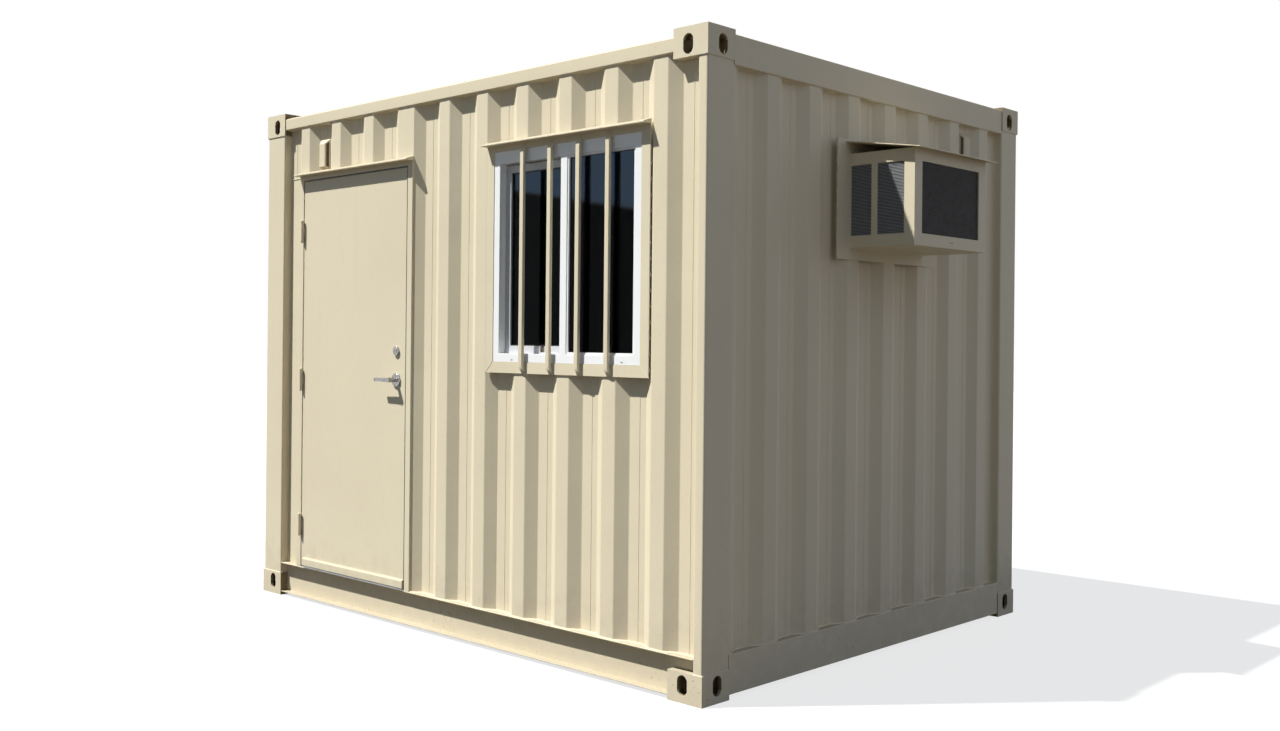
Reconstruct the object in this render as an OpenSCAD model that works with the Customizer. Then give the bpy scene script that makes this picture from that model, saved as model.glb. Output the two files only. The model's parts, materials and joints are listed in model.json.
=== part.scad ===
// Office container: a short steel ISO-corner unit with a hinged door, a
// sliding window behind bars and a cage for a window air conditioner.
// Origin: centre of the footprint, on the underside of the corner castings.
// X runs along the front, Y into the depth (the front face is at -Y), Z up.

/* [Overall] */
// Length over the corner castings
length = 3200; // [2980:10:4000]
// Width over the corner castings
width = 2438; // [2030:1:2950]
// Height over the corner castings
height = 2591; // [2580:1:3110]

/* [Corner castings] */
// Size of a casting along the length
casting_l = 178; // [172:1:200]
// Size of a casting across the width
casting_w = 162; // [150:1:180]
// Height of a casting
casting_h = 118; // [112:1:125]
// Width of the holes in the side and end faces
casting_hole_w = 51; // [40:1:60]
// Height of the holes in the side and end faces
casting_hole_h = 79.5; // [70:0.5:82]
// Length of the hole in the top or bottom face
casting_slot_l = 124; // [110:1:126]
// Width of the hole in the top or bottom face
casting_slot_w = 63.5; // [50:0.5:70]
// Thickness of the pierced top or bottom plate
casting_plate = 28; // [20:1:30]
// Thickness of the pierced side and end plates
casting_wall = 16; // [10:1:20]
// Thickness of the two inner side plates
casting_inner = 12; // [8:1:14]
// Thickness of the plate behind the pierced top or bottom one
casting_back = 9; // [6:1:12]
// Distance of the holes' centres from the end face
casting_hole_x = 101.5; // [95:0.5:103]
// Distance of the holes' centres from the side face
casting_hole_y = 89; // [84:0.5:90]

/* [Frame] */
// Setback of posts and rails from the casting faces
frame_setback = 4; // [2:1:5]
// Width of a left post, seen from the front
left_post_w = 168; // [120:1:172]
// Width of a right post, seen from the front
right_post_w = 48; // [44:1:80]
// Wall thickness of posts and rails
frame_t = 5; // [3:0.5:8]
// Side of the square top side rail
top_rail = 60; // [50:1:70]
// Drop of the top side rail below the castings' tops
top_rail_drop = 31; // [24:1:36]
// Height of the top end rail
header_h = 120; // [90:1:124]
// Height of the deck and of the bottom rails' upper faces
deck_z = 175; // [168:1:190]
// Height of the bottom rails' lower faces
rail_foot_z = 17; // [12:1:24]
// Depth of the bottom side rail's flanges
rail_flange = 42; // [40:1:50]
// Depth of the end rails
end_rail_d = 60; // [50:1:70]
// Rise of the top end rails above the top side rails
header_rise = 15; // [0:1:20]

/* [Corrugated walls] */
// Thickness of the wall and roof sheet
sheet_t = 2; // [1.6:0.1:3]
// Setback of the sheet's crests from the casting faces
crest_setback = 11; // [9:1:13]
// Depth of the corrugation
corr_depth = 32; // [20:1:32]
// Flat of a crest
corr_crest = 75; // [50:1:90]
// Run of each slope
corr_slope = 55; // [40:1:68]
// Flat of a valley
corr_valley = 91; // [60:1:100]
// Flat of a crest on the panel over the door
over_door_crest = 78; // [60:1:90]
// Flat of the first crest beside that panel's right edge
over_door_first = 131; // [90:1:150]
// Extra width of that panel's valleys
over_door_widening = 12; // [0:1:15]
// Extra width of the valley beside that first crest
over_door_extra = 8; // [0:1:15]
// Extra width of the end walls' crests
end_crest_widening = 5; // [0:1:12]
// Right edge of a crest of the end walls, from the middle of the width
end_crest_y = 82; // [60:1:100]

/* [Roof] */
// Width of a roof ridge
ridge_w = 130; // [100:1:150]
// Height of a roof ridge
ridge_h = 20; // [12:1:24]
// Run of a ridge's slopes
ridge_slope = 32; // [20:1:40]
// Distance between roof ridges
ridge_pitch = 300; // [240:5:400]
// Distance of the ridges' ends from the castings
ridge_end = 20; // [10:1:60]
// Distance of the roof sheet's edges from the casting faces
roof_setback = 14; // [8:1:30]

/* [Floor and linings] */
// Thickness of the floor board
floor_t = 28; // [21:1:30]
// Height of a cross member
cross_h = 122; // [100:1:124]
// Width of a cross member's flanges
cross_w = 45; // [40:1:60]
// Distance between cross members
cross_pitch = 305; // [250:5:400]
// Least distance between a cross member and a casting
cross_room = 10; // [5:1:40]
// Thickness of the insulated lining panels
lining_t = 50; // [30:5:60]
// Thickness of the ceiling panel
ceiling_t = 30; // [20:1:31]

/* [Door] */
// Width of the leaf
leaf_w = 914; // [760:1:1000]
// Height of the leaf
leaf_h = 2021; // [1900:1:2026]
// Thickness of the leaf
leaf_t = 44; // [35:1:50]
// Clearance around the leaf
leaf_gap = 5; // [5:0.5:8]
// Clearance under the leaf
leaf_foot_gap = 8; // [6:1:10]
// Width of the frame's face
door_face = 39; // [30:1:60]
// Height of the frame's head
door_head = 24; // [22:1:40]
// Left edge of the door frame, from the left end of the container
door_offset = 327; // [300:1:340]
// Setback of the door frame from the casting faces
door_setback = 5; // [3:1:8]
// Width of the stop behind the leaf
stop_w = 15; // [10:1:20]
// Thickness of the sill plate
sill_t = 4; // [3:1:6]
// Height of the weather bar at the foot of the leaf
sweep_h = 43; // [25:1:50]
// How far the weather bar stands out
sweep_d = 12; // [8:1:16]
// Drop of the weather bar's sloping top
sweep_slope = 8; // [4:1:20]
// Distance of the weather bar from the leaf's hinge edge
sweep_inset = 24; // [18:1:40]
// Setback of the leaf's face from the frame's face
leaf_setback = 3; // [1:0.5:5]
// Lap of the sill's upstand behind the leaf
sill_lap = 7; // [4:1:12]
// How far the sill plate reaches over the floor
sill_reach = 10; // [5:1:30]

/* [Hinges] */
// Radius of a hinge barrel
hinge_r = 8; // [7:0.5:8.5]
// Height of a hinge
hinge_h = 114; // [90:1:130]
// Radius of a hinge pin
hinge_pin_r = 4.5; // [3:0.5:5]
// Width of a hinge plate let into the jamb or the leaf
hinge_plate = 40; // [25:1:42]
// Thickness of a hinge plate
hinge_t = 2; // [1.5:0.1:2.4]
// Distance of the hinge pins from the frame's face
hinge_reach = 10; // [9:0.5:12]

/* [Door lock] */
// Distance of the lock and the lever from the leaf's edge
backset = 73; // [60:1:80]
// Height of the lever spindle above the leaf's foot
lever_rise = 998; // [900:1:1050]
// Height of the dead bolt above the lever spindle
bolt_rise = 140; // [120:1:160]
// Radius of the lever's roses
rose_r = 33; // [26:1:36]
// Thickness of the roses
rose_t = 9; // [6:1:12]
// Radius of the lever's spindle
spindle_r = 10; // [6:0.5:12]
// Length of the lever from its spindle
lever_l = 118; // [100:1:130]
// How far the lever stands off the leaf
lever_reach = 54; // [45:1:62]
// Thickness of the lever's grip
lever_t = 12; // [8:1:16]
// Radius of the lever's grip
grip_r = 9; // [7:1:12]
// Thickness of the wall round the lever's spindle
hub_wall = 4; // [2:1:6]
// Radius of the dead bolt's cylinder
bolt_r = 22; // [16:1:28]
// How far the dead bolt's cylinder stands out
bolt_t = 10; // [6:1:14]
// Radius of the dead bolt's core
core_r = 12.8; // [8:0.1:14]
// How far the core stands out of the cylinder
core_t = 2; // [1:0.5:4]
// Width of the dead bolt's inside knob
knob_w = 8; // [6:1:12]
// Height of the inside knob
knob_h = 30; // [20:1:40]
// How far the inside knob stands out
knob_d = 18; // [12:1:24]

/* [Window] */
// Width of the window frame
window_w = 912; // [760:1:1000]
// Height of the window frame
window_h = 928; // [720:1:928]
// Face of the window frame
window_face = 38; // [30:1:50]
// Height of the window frame's head
window_head = 54; // [38:1:60]
// Depth of the window frame
window_d = 82; // [72:1:85]
// Right edge of the window frame, from the right end of the container
window_offset = 349; // [290:1:380]
// Height of the window frame's lower edge
window_z = 1286; // [1150:1:1286]
// Face of the steel surround, at its sides and foot
surround_face = 49; // [40:1:60]
// Face of the steel surround over the window
surround_head = 27; // [20:1:30]
// Setback of the window frame from the surround's face
window_setback = 3; // [2:1:14]
// Width of the mullion
mullion_w = 40; // [30:1:50]
// Depth of the mullion
mullion_d = 33; // [20:1:34]
// Depth of the sliding sash
sash_d = 26; // [20:1:30]
// Face of the sliding sash
sash_face = 34; // [25:1:45]
// Clearance around the sliding sash
sash_gap = 2; // [1:0.5:3]
// Thickness of a pane
pane_t = 6; // [4:1:8]
// Distance of the fixed pane from the window frame's face
fixed_pane_d = 12; // [8:1:16]
// Distance of the sash's pane from the sash's face
sash_pane_d = 10; // [6:1:12]
// Thickness of the surround and of the cage's wall frame
plate_t = 6; // [4:0.5:8]
// Thickness of the sleeves that line the wall openings
sleeve_t = 3; // [2:0.5:4]
// Width of a window bar
bar_w = 24; // [12:1:28]
// Depth of a window bar
bar_d = 15; // [10:1:20]
// Gap between a bar and the steel surround
bar_gap = 4; // [2:1:14]
// Height of a bar's bent ends
bar_foot = 30; // [15:1:40]
// Height of a bent end's contact with the surround
bar_land = 24; // [10:1:30]
// Extra rise of a bend's inner corner
bar_bend = 6; // [0:1:10]
// Distance of the bars' lower ends from the surround's edge
bar_foot_edge = 3; // [0:1:10]
// Distance of the bars' upper ends from the surround's edge
bar_head_edge = 8; // [0:1:12]
// Number of window bars
bar_count = 4; // [2:1:5]
// Distance between bars
bar_pitch = 176; // [100:1:190]

/* [Rain hoods] */
// How far the hoods stand out in front of the casting faces
hood_reach = 35; // [20:1:60]
// Rise of the hoods' tops from the lips to the wall
hood_rise = 16; // [0:1:20]
// Height of the hoods' lips
hood_t = 6; // [3:1:8]

/* [Air conditioner cage] */
// Width of the cage
cage_w = 590; // [480:1:700]
// Height of the cage
cage_h = 408; // [340:1:450]
// How far the cage stands out from the end face
cage_reach = 315; // [260:1:400]
// Height of the cage's underside
cage_z = 1794; // [1650:1:1820]
// Centre of the cage across the width
cage_y = 26; // [-100:1:100]
// Width of the cage's corner uprights, seen from its front
cage_stile = 60; // [40:1:70]
// Width of the cage's corner uprights, seen from its side
cage_side_stile = 52; // [40:1:70]
// Height of the cage's rails
cage_rail = 53; // [35:1:60]
// Distance from the wall to the upright between two side screens
cage_bay = 105; // [80:1:150]
// Width of the upright between two side screens
cage_mullion = 29; // [20:1:40]
// Thickness of the cage's frame
cage_t = 20; // [12:1:25]
// Thickness of the cage's screens and of the pan in its foot
screen_t = 3; // [2:0.5:4]
// Face of the wall frame beside the cage
cage_frame_side = 95; // [60:1:110]
// Face of the wall frame below the cage
cage_frame_foot = 50; // [30:1:60]
// Face of the wall frame above the cage
cage_frame_head = 61; // [56:1:80]
// Rise of the hood from the cage's front to the wall
cage_hood_rise = 48; // [30:1:50]
// Overhang of the hood past the cage's front
cage_hood_lap = 46; // [20:1:60]
// Overhang of the hood past the cage's sides
cage_hood_side = 34; // [10:1:40]
// Thickness of the cage's hood
cage_hood_t = 4; // [2:0.5:5]

/* [Vents] */
// Width of a vent cover
vent_w = 86; // [60:1:88]
// Height of a vent cover
vent_h = 160; // [120:1:170]
// How far a vent cover stands out of its valley
vent_d = 24; // [15:1:28]
// Run of a vent cover's slanting sides
vent_side = 18; // [10:1:24]
// Rise of a vent cover's slanting foot
vent_foot = 12; // [6:1:20]
// Rise of a vent cover's slanting top
vent_top = 26; // [10:1:40]
// Drop of the vents below the top side rails
vent_drop = 76; // [50:1:80]
// Distance of the end wall's vent from the middle of the width
vent_y = 745; // [740:1:750]

/* [Hidden] */
$fn = 48;

paint = [0.86, 0.82, 0.71];
white = [0.94, 0.94, 0.93];
dark = [0.16, 0.16, 0.17];
ply = [0.62, 0.47, 0.31];
satin = [0.74, 0.74, 0.73];
glass = [0.35, 0.42, 0.48, 0.6];

half_l = length / 2;
half_w = width / 2;
over = 1;

// Heights of the frame
roof_castings_z = height - casting_h;
top_rail_z1 = height - top_rail_drop;
top_rail_z0 = top_rail_z1 - top_rail;
header_z1 = top_rail_z1 + header_rise;
header_z0 = header_z1 - header_h;
ceiling_z = roof_castings_z - ceiling_t - 3;
floor_z = deck_z - floor_t;

// Positions of the frame
left_post_x = frame_setback + left_post_w - half_l;
right_post_x = half_l - frame_setback - right_post_w;
post_y = half_w - casting_w;
rail_in = frame_setback + rail_flange;
end_rail_in = frame_setback + end_rail_d;

// Depths of the walls, measured inwards from the casting faces
valley = crest_setback + corr_depth;
lining_in = rail_in + lining_t;
end_lining = frame_setback + right_post_w;
end_lining_in = end_lining + lining_t;

// Door
frame_x0 = door_offset - half_l;
jamb_x0 = frame_x0 + door_face;
leaf_x0 = jamb_x0 + leaf_gap;
leaf_x1 = leaf_x0 + leaf_w;
jamb_x1 = leaf_x1 + leaf_gap;
frame_x1 = jamb_x1 + door_face;
leaf_z0 = deck_z + sill_t + leaf_foot_gap;
leaf_z1 = leaf_z0 + leaf_h;
frame_z1 = leaf_z1 + leaf_gap + door_head;
leaf_d0 = door_setback + leaf_setback;
leaf_d1 = leaf_d0 + leaf_t;
stop_d = leaf_d1 + leaf_gap;
door_y0 = leaf_d0 - half_w;
door_y1 = leaf_d1 - half_w;
sweep_x0 = leaf_x0 + sweep_inset;

// Hinges
hinge_x = leaf_x0 - leaf_gap / 2;
hinge_y = door_setback - hinge_reach - half_w;
hinge_slack = 0.1;
hinge_rises = [0.105, 0.484, 0.87];
knuckle_h = hinge_h / 3;

// Height of a hinge's foot
function hinge_z(rise) = leaf_z0 + rise * leaf_h - hinge_h / 2;

// Lock
lock_x = leaf_x1 - backset;
lever_z = leaf_z0 + lever_rise;
bolt_z = lever_z + bolt_rise;
bore_r = spindle_r + 0.5;

// Window
window_x1 = half_l - window_offset;
window_x0 = window_x1 - window_w;
window_z1 = window_z + window_h;
window_xm = (window_x0 + window_x1) / 2;
surround_d = crest_setback - plate_t;
window_y0 = surround_d + window_setback - half_w;
sash_x0 = window_x0 + window_face + sash_gap;
sash_x1 = window_xm + mullion_w / 2;
sash_z0 = window_z + window_face;
sash_z1 = window_z1 - window_head - 2 * sash_gap;
sash_y = window_y0 + mullion_d + sash_gap;

// Rain hoods
hood_z = frame_z1;

// Cage
cage_y0 = cage_y - cage_w / 2;
cage_y1 = cage_y + cage_w / 2;
cage_z1 = cage_z + cage_h;
cage_x0 = half_l - crest_setback + plate_t;
cage_x1 = half_l + cage_reach;
cage_bay_x1 = cage_x1 - cage_side_stile;
cage_in_y0 = cage_y0 + cage_t;
cage_in_y1 = cage_y1 - cage_t;
cage_in_z0 = cage_z + cage_t;
cage_in_z1 = cage_z1 - cage_t;

// Corrugation profiles: pairs of position along the wall and depth
function waves(edge, crest, flat, first, last) = [
    for (i = [first:last])
        let (pitch = crest + flat + 2 * corr_slope, e = edge + i * pitch)
            each [
                [e - crest, crest_setback],
                [e, crest_setback],
                [e + corr_slope, valley],
                [e + corr_slope + flat, valley]]];
wave_count = ceil(max(length, width) / (corr_crest + corr_valley)) + 1;
front_waves = waves(frame_x1, corr_crest, corr_valley,
    -wave_count, wave_count);
end_waves = waves(end_crest_y, corr_crest + end_crest_widening, corr_valley,
    -wave_count, wave_count);
over_door_flat = corr_valley + over_door_widening;
over_door_pitch = over_door_crest + over_door_flat + 2 * corr_slope;
over_door_edge = frame_x1 - over_door_first - 2 * corr_slope
    - corr_valley - over_door_extra;
over_door_waves = waves(over_door_edge, over_door_crest, over_door_flat,
    -wave_count, 0);
over_door_profile = concat(
    [for (p = over_door_waves)
        if (p[0] < frame_x1 - over_door_first - corr_slope) p],
    [[frame_x1 - over_door_first - corr_slope, valley],
     [frame_x1 - over_door_first, crest_setback],
     [frame_x1 + over, crest_setback]]);

// ---- Helpers ----

// Block between two opposite corners
module block(a, b) {
    translate(a)
        cube(b - a);
}

// Cylinder along Y
module y_cylinder(r, x, z, y0, y1) {
    translate([x, y1, z])
        rotate([90, 0, 0])
            cylinder(r = r, h = y1 - y0);
}

// Children repeated in the four quarters of the plan
module quarters() {
    for (sx = [0, 1], sy = [0, 1])
        mirror([sx, 0, 0])
            mirror([0, sy, 0])
                children();
}

// Children repeated at the front and the back
module front_and_back() {
    for (sy = [0, 1])
        mirror([0, sy, 0])
            children();
}

// Outer shapes of all castings
module casting_blocks() {
    quarters()
        for (z = [0, roof_castings_z])
            block([-half_l - over, -half_w - over, z - over],
                [casting_l - half_l, casting_w - half_w,
                    z + casting_h + over]);
}

// Folded sheet standing in a wall, with its outer face turned to -Y
module sheet(profile, reach, a, b, z0, z1) {
    line = concat(
        [[a, lookup(a, profile)]],
        [for (p = profile) if (p[0] > a && p[0] < b) p],
        [[b, lookup(b, profile)]]);
    n = len(line) - 1;
    outer = [for (p = line) [p[0], p[1] - reach]];
    inner = [for (i = [n:-1:0]) outer[i] + [0, sheet_t]];
    translate([0, 0, z0])
        linear_extrude(z1 - z0)
            polygon(concat(outer, inner));
}

// Rounded slot, upright, cut through along Y
module upright_slot(w, h, depth) {
    rotate([90, 0, 0])
        linear_extrude(depth, center = true) {
            square([w, h - w], center = true);
            for (s = [-1, 1])
                translate([0, s * (h - w) / 2])
                    circle(r = w / 2);
        }
}

// ---- Frame ----

// Casting with its pierced corner at the origin
module casting() {
    hole_z = casting_plate + casting_hole_h / 2;
    difference() {
        cube([casting_l, casting_w, casting_h]);
        block([casting_wall, casting_wall, casting_plate],
            [casting_l - casting_inner, casting_w - casting_inner,
                casting_h - casting_back]);
        translate([casting_hole_x, casting_wall / 2, hole_z])
            upright_slot(casting_hole_w, casting_hole_h, casting_wall + 2);
        translate([casting_wall / 2, casting_hole_y, hole_z])
            rotate([0, 0, 90])
                upright_slot(casting_hole_w, casting_hole_h,
                    casting_wall + 2);
        translate([casting_hole_x, casting_hole_y, casting_plate / 2])
            rotate([90, 0, 90])
                upright_slot(casting_slot_w, casting_slot_l,
                    casting_plate + 2);
    }
}

module corner_castings() {
    color(paint)
        quarters()
            translate([-half_l, -half_w, 0]) {
                casting();
                translate([0, 0, height])
                    mirror([0, 0, 1])
                        casting();
            }
}

// Hollow post between two castings, at the front
module post(x0, x1) {
    y0 = frame_setback - half_w;
    difference() {
        block([x0, y0, casting_h], [x1, -post_y, roof_castings_z]);
        block([x0 + frame_t, y0 + frame_t, casting_h - over],
            [x1 - frame_t, -post_y - frame_t, roof_castings_z + over]);
    }
}

module corner_posts() {
    color(paint)
        front_and_back() {
            post(frame_setback - half_l, left_post_x);
            post(right_post_x, half_l - frame_setback);
        }
}

module top_side_rails() {
    x = half_l - casting_l;
    y = frame_setback - half_w;
    color(paint)
        front_and_back()
            difference() {
                block([-x, y, top_rail_z0], [x, y + top_rail, top_rail_z1]);
                block([-x - over, y + frame_t, top_rail_z0 + frame_t],
                    [x + over, y + top_rail - frame_t,
                        top_rail_z1 - frame_t]);
            }
}

module bottom_side_rails() {
    y = frame_setback - half_w;
    web_y = rail_in - half_w;
    color(paint)
        front_and_back()
            difference() {
                block([left_post_x, y, rail_foot_z],
                    [right_post_x, web_y, deck_z]);
                block([left_post_x - over, y - over, rail_foot_z + frame_t],
                    [right_post_x + over, web_y - frame_t,
                        deck_z - frame_t]);
                casting_blocks();
            }
}

// Hollow rail across an end, with its outer face turned to -X
module end_rail(z0, z1) {
    x = frame_setback - half_l;
    difference() {
        block([x, -post_y, z0], [x + end_rail_d, post_y, z1]);
        block([x + frame_t, -post_y - over, z0 + frame_t],
            [x + end_rail_d - frame_t, post_y + over, z1 - frame_t]);
    }
}

module top_end_rails() {
    color(paint)
        for (s = [0, 1])
            mirror([s, 0, 0])
                end_rail(header_z0, header_z1);
}

module bottom_end_rails() {
    color(paint)
        for (s = [0, 1])
            mirror([s, 0, 0])
                end_rail(rail_foot_z, deck_z);
}

module cross_members() {
    y = half_w - rail_in;
    z = floor_z - cross_h;
    room = length - 2 * casting_l - cross_w - 2 * cross_room;
    spaces = floor(room / cross_pitch);
    color(paint)
        for (i = [0:spaces])
            translate([(i - spaces / 2) * cross_pitch - cross_w / 2, 0, 0])
                difference() {
                    block([0, -y, z], [cross_w, y, floor_z]);
                    block([frame_t, -y - over, z + frame_t],
                        [cross_w + over, y + over, floor_z - frame_t]);
                }
}

module floor_deck() {
    x = half_l - end_rail_in;
    y = half_w - rail_in;
    color(ply)
        difference() {
            block([-x, -y, floor_z], [x, y, deck_z]);
            front_and_back()
                block([-half_l, -half_w, floor_z - over],
                    [left_post_x, -post_y, deck_z + over]);
        }
}

// Ridge of the roof sheet, running along Y
module roof_ridge(w, h, y, z) {
    translate([0, y, z])
        rotate([90, 0, 0])
            linear_extrude(2 * y)
                polygon([[-w / 2, 0], [w / 2, 0],
                    [w / 2 - ridge_slope, h], [ridge_slope - w / 2, h]]);
}

module roof_panel() {
    x = half_l - end_rail_in;
    y = half_w - roof_setback;
    ridge_y = post_y - ridge_end;
    nudge = 0.001;
    ridges = floor((length - 2 * casting_l - ridge_w) / ridge_pitch);
    xs = [for (i = [0:ridges]) (i - ridges / 2) * ridge_pitch];
    color(paint)
        difference() {
            union() {
                block([-x, -y, top_rail_z1], [x, y, top_rail_z1 + sheet_t]);
                for (rx = xs)
                    translate([rx, 0, 0])
                        roof_ridge(ridge_w, ridge_h + sheet_t, ridge_y,
                            top_rail_z1);
            }
            for (rx = xs)
                translate([rx, 0, 0])
                    roof_ridge(ridge_w - 2 * sheet_t, ridge_h,
                        ridge_y - sheet_t, top_rail_z1 - nudge);
            casting_blocks();
        }
}

// ---- Corrugated walls ----

module front_wall_piers() {
    z1 = top_rail_z0;
    color(paint)
        difference() {
            union() {
                sheet([[-half_l, valley], [half_l, valley]], half_w,
                    left_post_x, frame_x0, deck_z, hood_z);
                sheet(front_waves, half_w, frame_x1,
                    window_x0 - sleeve_t, deck_z, z1);
                sheet(front_waves, half_w, window_x1 + sleeve_t,
                    right_post_x, deck_z, z1);
            }
            casting_blocks();
        }
}

module front_wall_infills() {
    color(paint)
        difference() {
            union() {
                sheet(over_door_profile, half_w, left_post_x, frame_x1,
                    hood_z, top_rail_z0);
                sheet(front_waves, half_w, window_x0 - sleeve_t,
                    window_x1 + sleeve_t, deck_z, window_z - sleeve_t);
                sheet(front_waves, half_w, window_x0 - sleeve_t,
                    window_x1 + sleeve_t, window_z1 + sleeve_t,
                    top_rail_z0);
            }
            casting_blocks();
        }
}

module back_wall() {
    color(paint)
        difference() {
            rotate([0, 0, 180])
                sheet(front_waves, half_w, -right_post_x, -left_post_x,
                    deck_z, top_rail_z0);
            casting_blocks();
        }
}

module left_end_wall() {
    color(paint)
        rotate([0, 0, -90])
            sheet(end_waves, half_l, -post_y, post_y, deck_z, header_z0);
}

module right_wall_piers() {
    color(paint)
        rotate([0, 0, 90]) {
            sheet(end_waves, half_l, -post_y, cage_in_y0 - sleeve_t,
                deck_z, header_z0);
            sheet(end_waves, half_l, cage_in_y1 + sleeve_t, post_y,
                deck_z, header_z0);
        }
}

module right_wall_infills() {
    a = cage_in_y0 - sleeve_t;
    b = cage_in_y1 + sleeve_t;
    color(paint)
        rotate([0, 0, 90]) {
            sheet(end_waves, half_l, a, b, deck_z,
                cage_in_z0 - sleeve_t);
            sheet(end_waves, half_l, a, b, cage_in_z1 + sleeve_t,
                header_z0);
        }
}

// ---- Linings ----

// Part of the front lining
module front_lining(x0, x1, z0, z1) {
    color(white)
        block([x0, rail_in - half_w, z0], [x1, lining_in - half_w, z1]);
}

module front_lining_piers() {
    front_lining(left_post_x, frame_x0, deck_z, ceiling_z);
    front_lining(frame_x1, window_x0 - sleeve_t, deck_z, ceiling_z);
    front_lining(window_x1 + sleeve_t, right_post_x, deck_z, ceiling_z);
}

module front_lining_infills() {
    x0 = window_x0 - sleeve_t;
    x1 = window_x1 + sleeve_t;
    front_lining(frame_x0, frame_x1, frame_z1, ceiling_z);
    front_lining(x0, x1, deck_z, window_z - sleeve_t);
    front_lining(x0, x1, window_z1 + sleeve_t, ceiling_z);
}

module back_lining() {
    color(white)
        block([left_post_x, half_w - lining_in, deck_z],
            [right_post_x, half_w - rail_in, ceiling_z]);
}

module left_lining() {
    color(white)
        block([end_lining - half_l, -post_y, deck_z],
            [end_lining_in - half_l, post_y, ceiling_z]);
}

// Part of the right lining
module right_lining(y0, y1, z0, z1) {
    color(white)
        block([half_l - end_lining_in, y0, z0],
            [half_l - end_lining, y1, z1]);
}

module right_lining_piers() {
    y = half_w - lining_in;
    right_lining(-y, cage_in_y0 - sleeve_t, deck_z, ceiling_z);
    right_lining(cage_in_y1 + sleeve_t, y, deck_z, ceiling_z);
}

module right_lining_infills() {
    y0 = cage_in_y0 - sleeve_t;
    y1 = cage_in_y1 + sleeve_t;
    right_lining(y0, y1, deck_z, cage_in_z0 - sleeve_t);
    right_lining(y0, y1, cage_in_z1 + sleeve_t, ceiling_z);
}

module ceiling_lining() {
    x = half_l - end_rail_in;
    y = half_w - rail_in;
    color(white)
        difference() {
            block([-x, -y, ceiling_z], [x, y, ceiling_z + ceiling_t]);
            front_and_back()
                block([-half_l, -half_w, ceiling_z - over],
                    [left_post_x, -post_y, ceiling_z + ceiling_t + over]);
            front_and_back()
                block([right_post_x, -half_w, ceiling_z - over],
                    [half_l, -post_y, ceiling_z + ceiling_t + over]);
        }
}

// ---- Door ----

module door_frame() {
    y0 = door_setback - half_w;
    y1 = lining_in - half_w;
    head_z = frame_z1 - door_head;
    color(paint)
        difference() {
            block([frame_x0, y0, deck_z], [frame_x1, y1, frame_z1]);
            block([jamb_x0, y0 - over, deck_z - over],
                [jamb_x1, stop_d - half_w, head_z]);
            block([jamb_x0 + stop_w, y0, deck_z - over],
                [jamb_x1 - stop_w, y1 + over, head_z - stop_w]);
            for (rise = hinge_rises)
                block([jamb_x0 - hinge_t, y0 - over, hinge_z(rise)],
                    [jamb_x0 + over, y0 + hinge_plate,
                        hinge_z(rise) + hinge_h]);
        }
}

module threshold() {
    y0 = door_setback - half_w;
    x0 = jamb_x0 + stop_w;
    x1 = jamb_x1 - stop_w;
    color(satin) {
        block([jamb_x0, y0, deck_z],
            [jamb_x1, stop_d - half_w, deck_z + sill_t]);
        block([x0, stop_d - half_w, deck_z],
            [x1, lining_in - half_w + sill_reach, deck_z + sill_t]);
        block([x0, stop_d - half_w, deck_z],
            [x1, stop_d - half_w + stop_w, leaf_z0 + sill_lap]);
    }
}

module door_leaf() {
    color(paint)
        difference() {
            block([leaf_x0, door_y0, leaf_z0], [leaf_x1, door_y1, leaf_z1]);
            for (rise = hinge_rises)
                block([leaf_x0 - over, door_y0 - over, hinge_z(rise)],
                    [leaf_x0 + hinge_t, door_y0 + hinge_plate,
                        hinge_z(rise) + hinge_h]);
            y_cylinder(bore_r, lock_x, lever_z, door_y0 - over,
                door_y1 + over);
        }
}

module door_sweep() {
    color(paint)
        translate([sweep_x0, door_y0, leaf_z0])
            rotate([90, 0, 90])
                linear_extrude(leaf_x1 - sweep_x0)
                    polygon([[0, 0], [-sweep_d, 0],
                        [-sweep_d, sweep_h - sweep_slope], [0, sweep_h]]);
}

// Hinge parts stand with their foot at the origin height
module knuckle(z0, z1) {
    translate([hinge_x, hinge_y, z0])
        cylinder(r = hinge_r, h = z1 - z0);
}

module hinge_frame_halves() {
    y0 = door_setback - half_w;
    slack = hinge_slack / 2;
    color(satin)
        for (rise = hinge_rises)
            translate([0, 0, hinge_z(rise)]) {
                block([jamb_x0 - hinge_t, y0, 0],
                    [jamb_x0, y0 + hinge_plate, hinge_h]);
                for (z = [0, 2 * knuckle_h + slack])
                    block([jamb_x0 - hinge_t, hinge_y, z],
                        [jamb_x0, y0 + over, z + knuckle_h - slack]);
                knuckle(0, knuckle_h - slack);
                knuckle(2 * knuckle_h + slack, hinge_h);
                translate([hinge_x, hinge_y, 0])
                    cylinder(r = hinge_pin_r, h = hinge_h);
            }
}

module hinge_door_halves() {
    slack = hinge_slack / 2;
    z0 = knuckle_h + slack;
    z1 = 2 * knuckle_h - slack;
    color(satin)
        for (rise = hinge_rises)
            translate([0, 0, hinge_z(rise)])
                difference() {
                    union() {
                        block([leaf_x0, door_y0, 0],
                            [leaf_x0 + hinge_t, door_y0 + hinge_plate,
                                hinge_h]);
                        block([leaf_x0, hinge_y, z0],
                            [leaf_x0 + hinge_t, door_y0 + over, z1]);
                        knuckle(z0, z1);
                    }
                    translate([hinge_x, hinge_y, 0])
                        cylinder(r = hinge_pin_r + hinge_slack,
                            h = hinge_h);
                }
}

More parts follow.
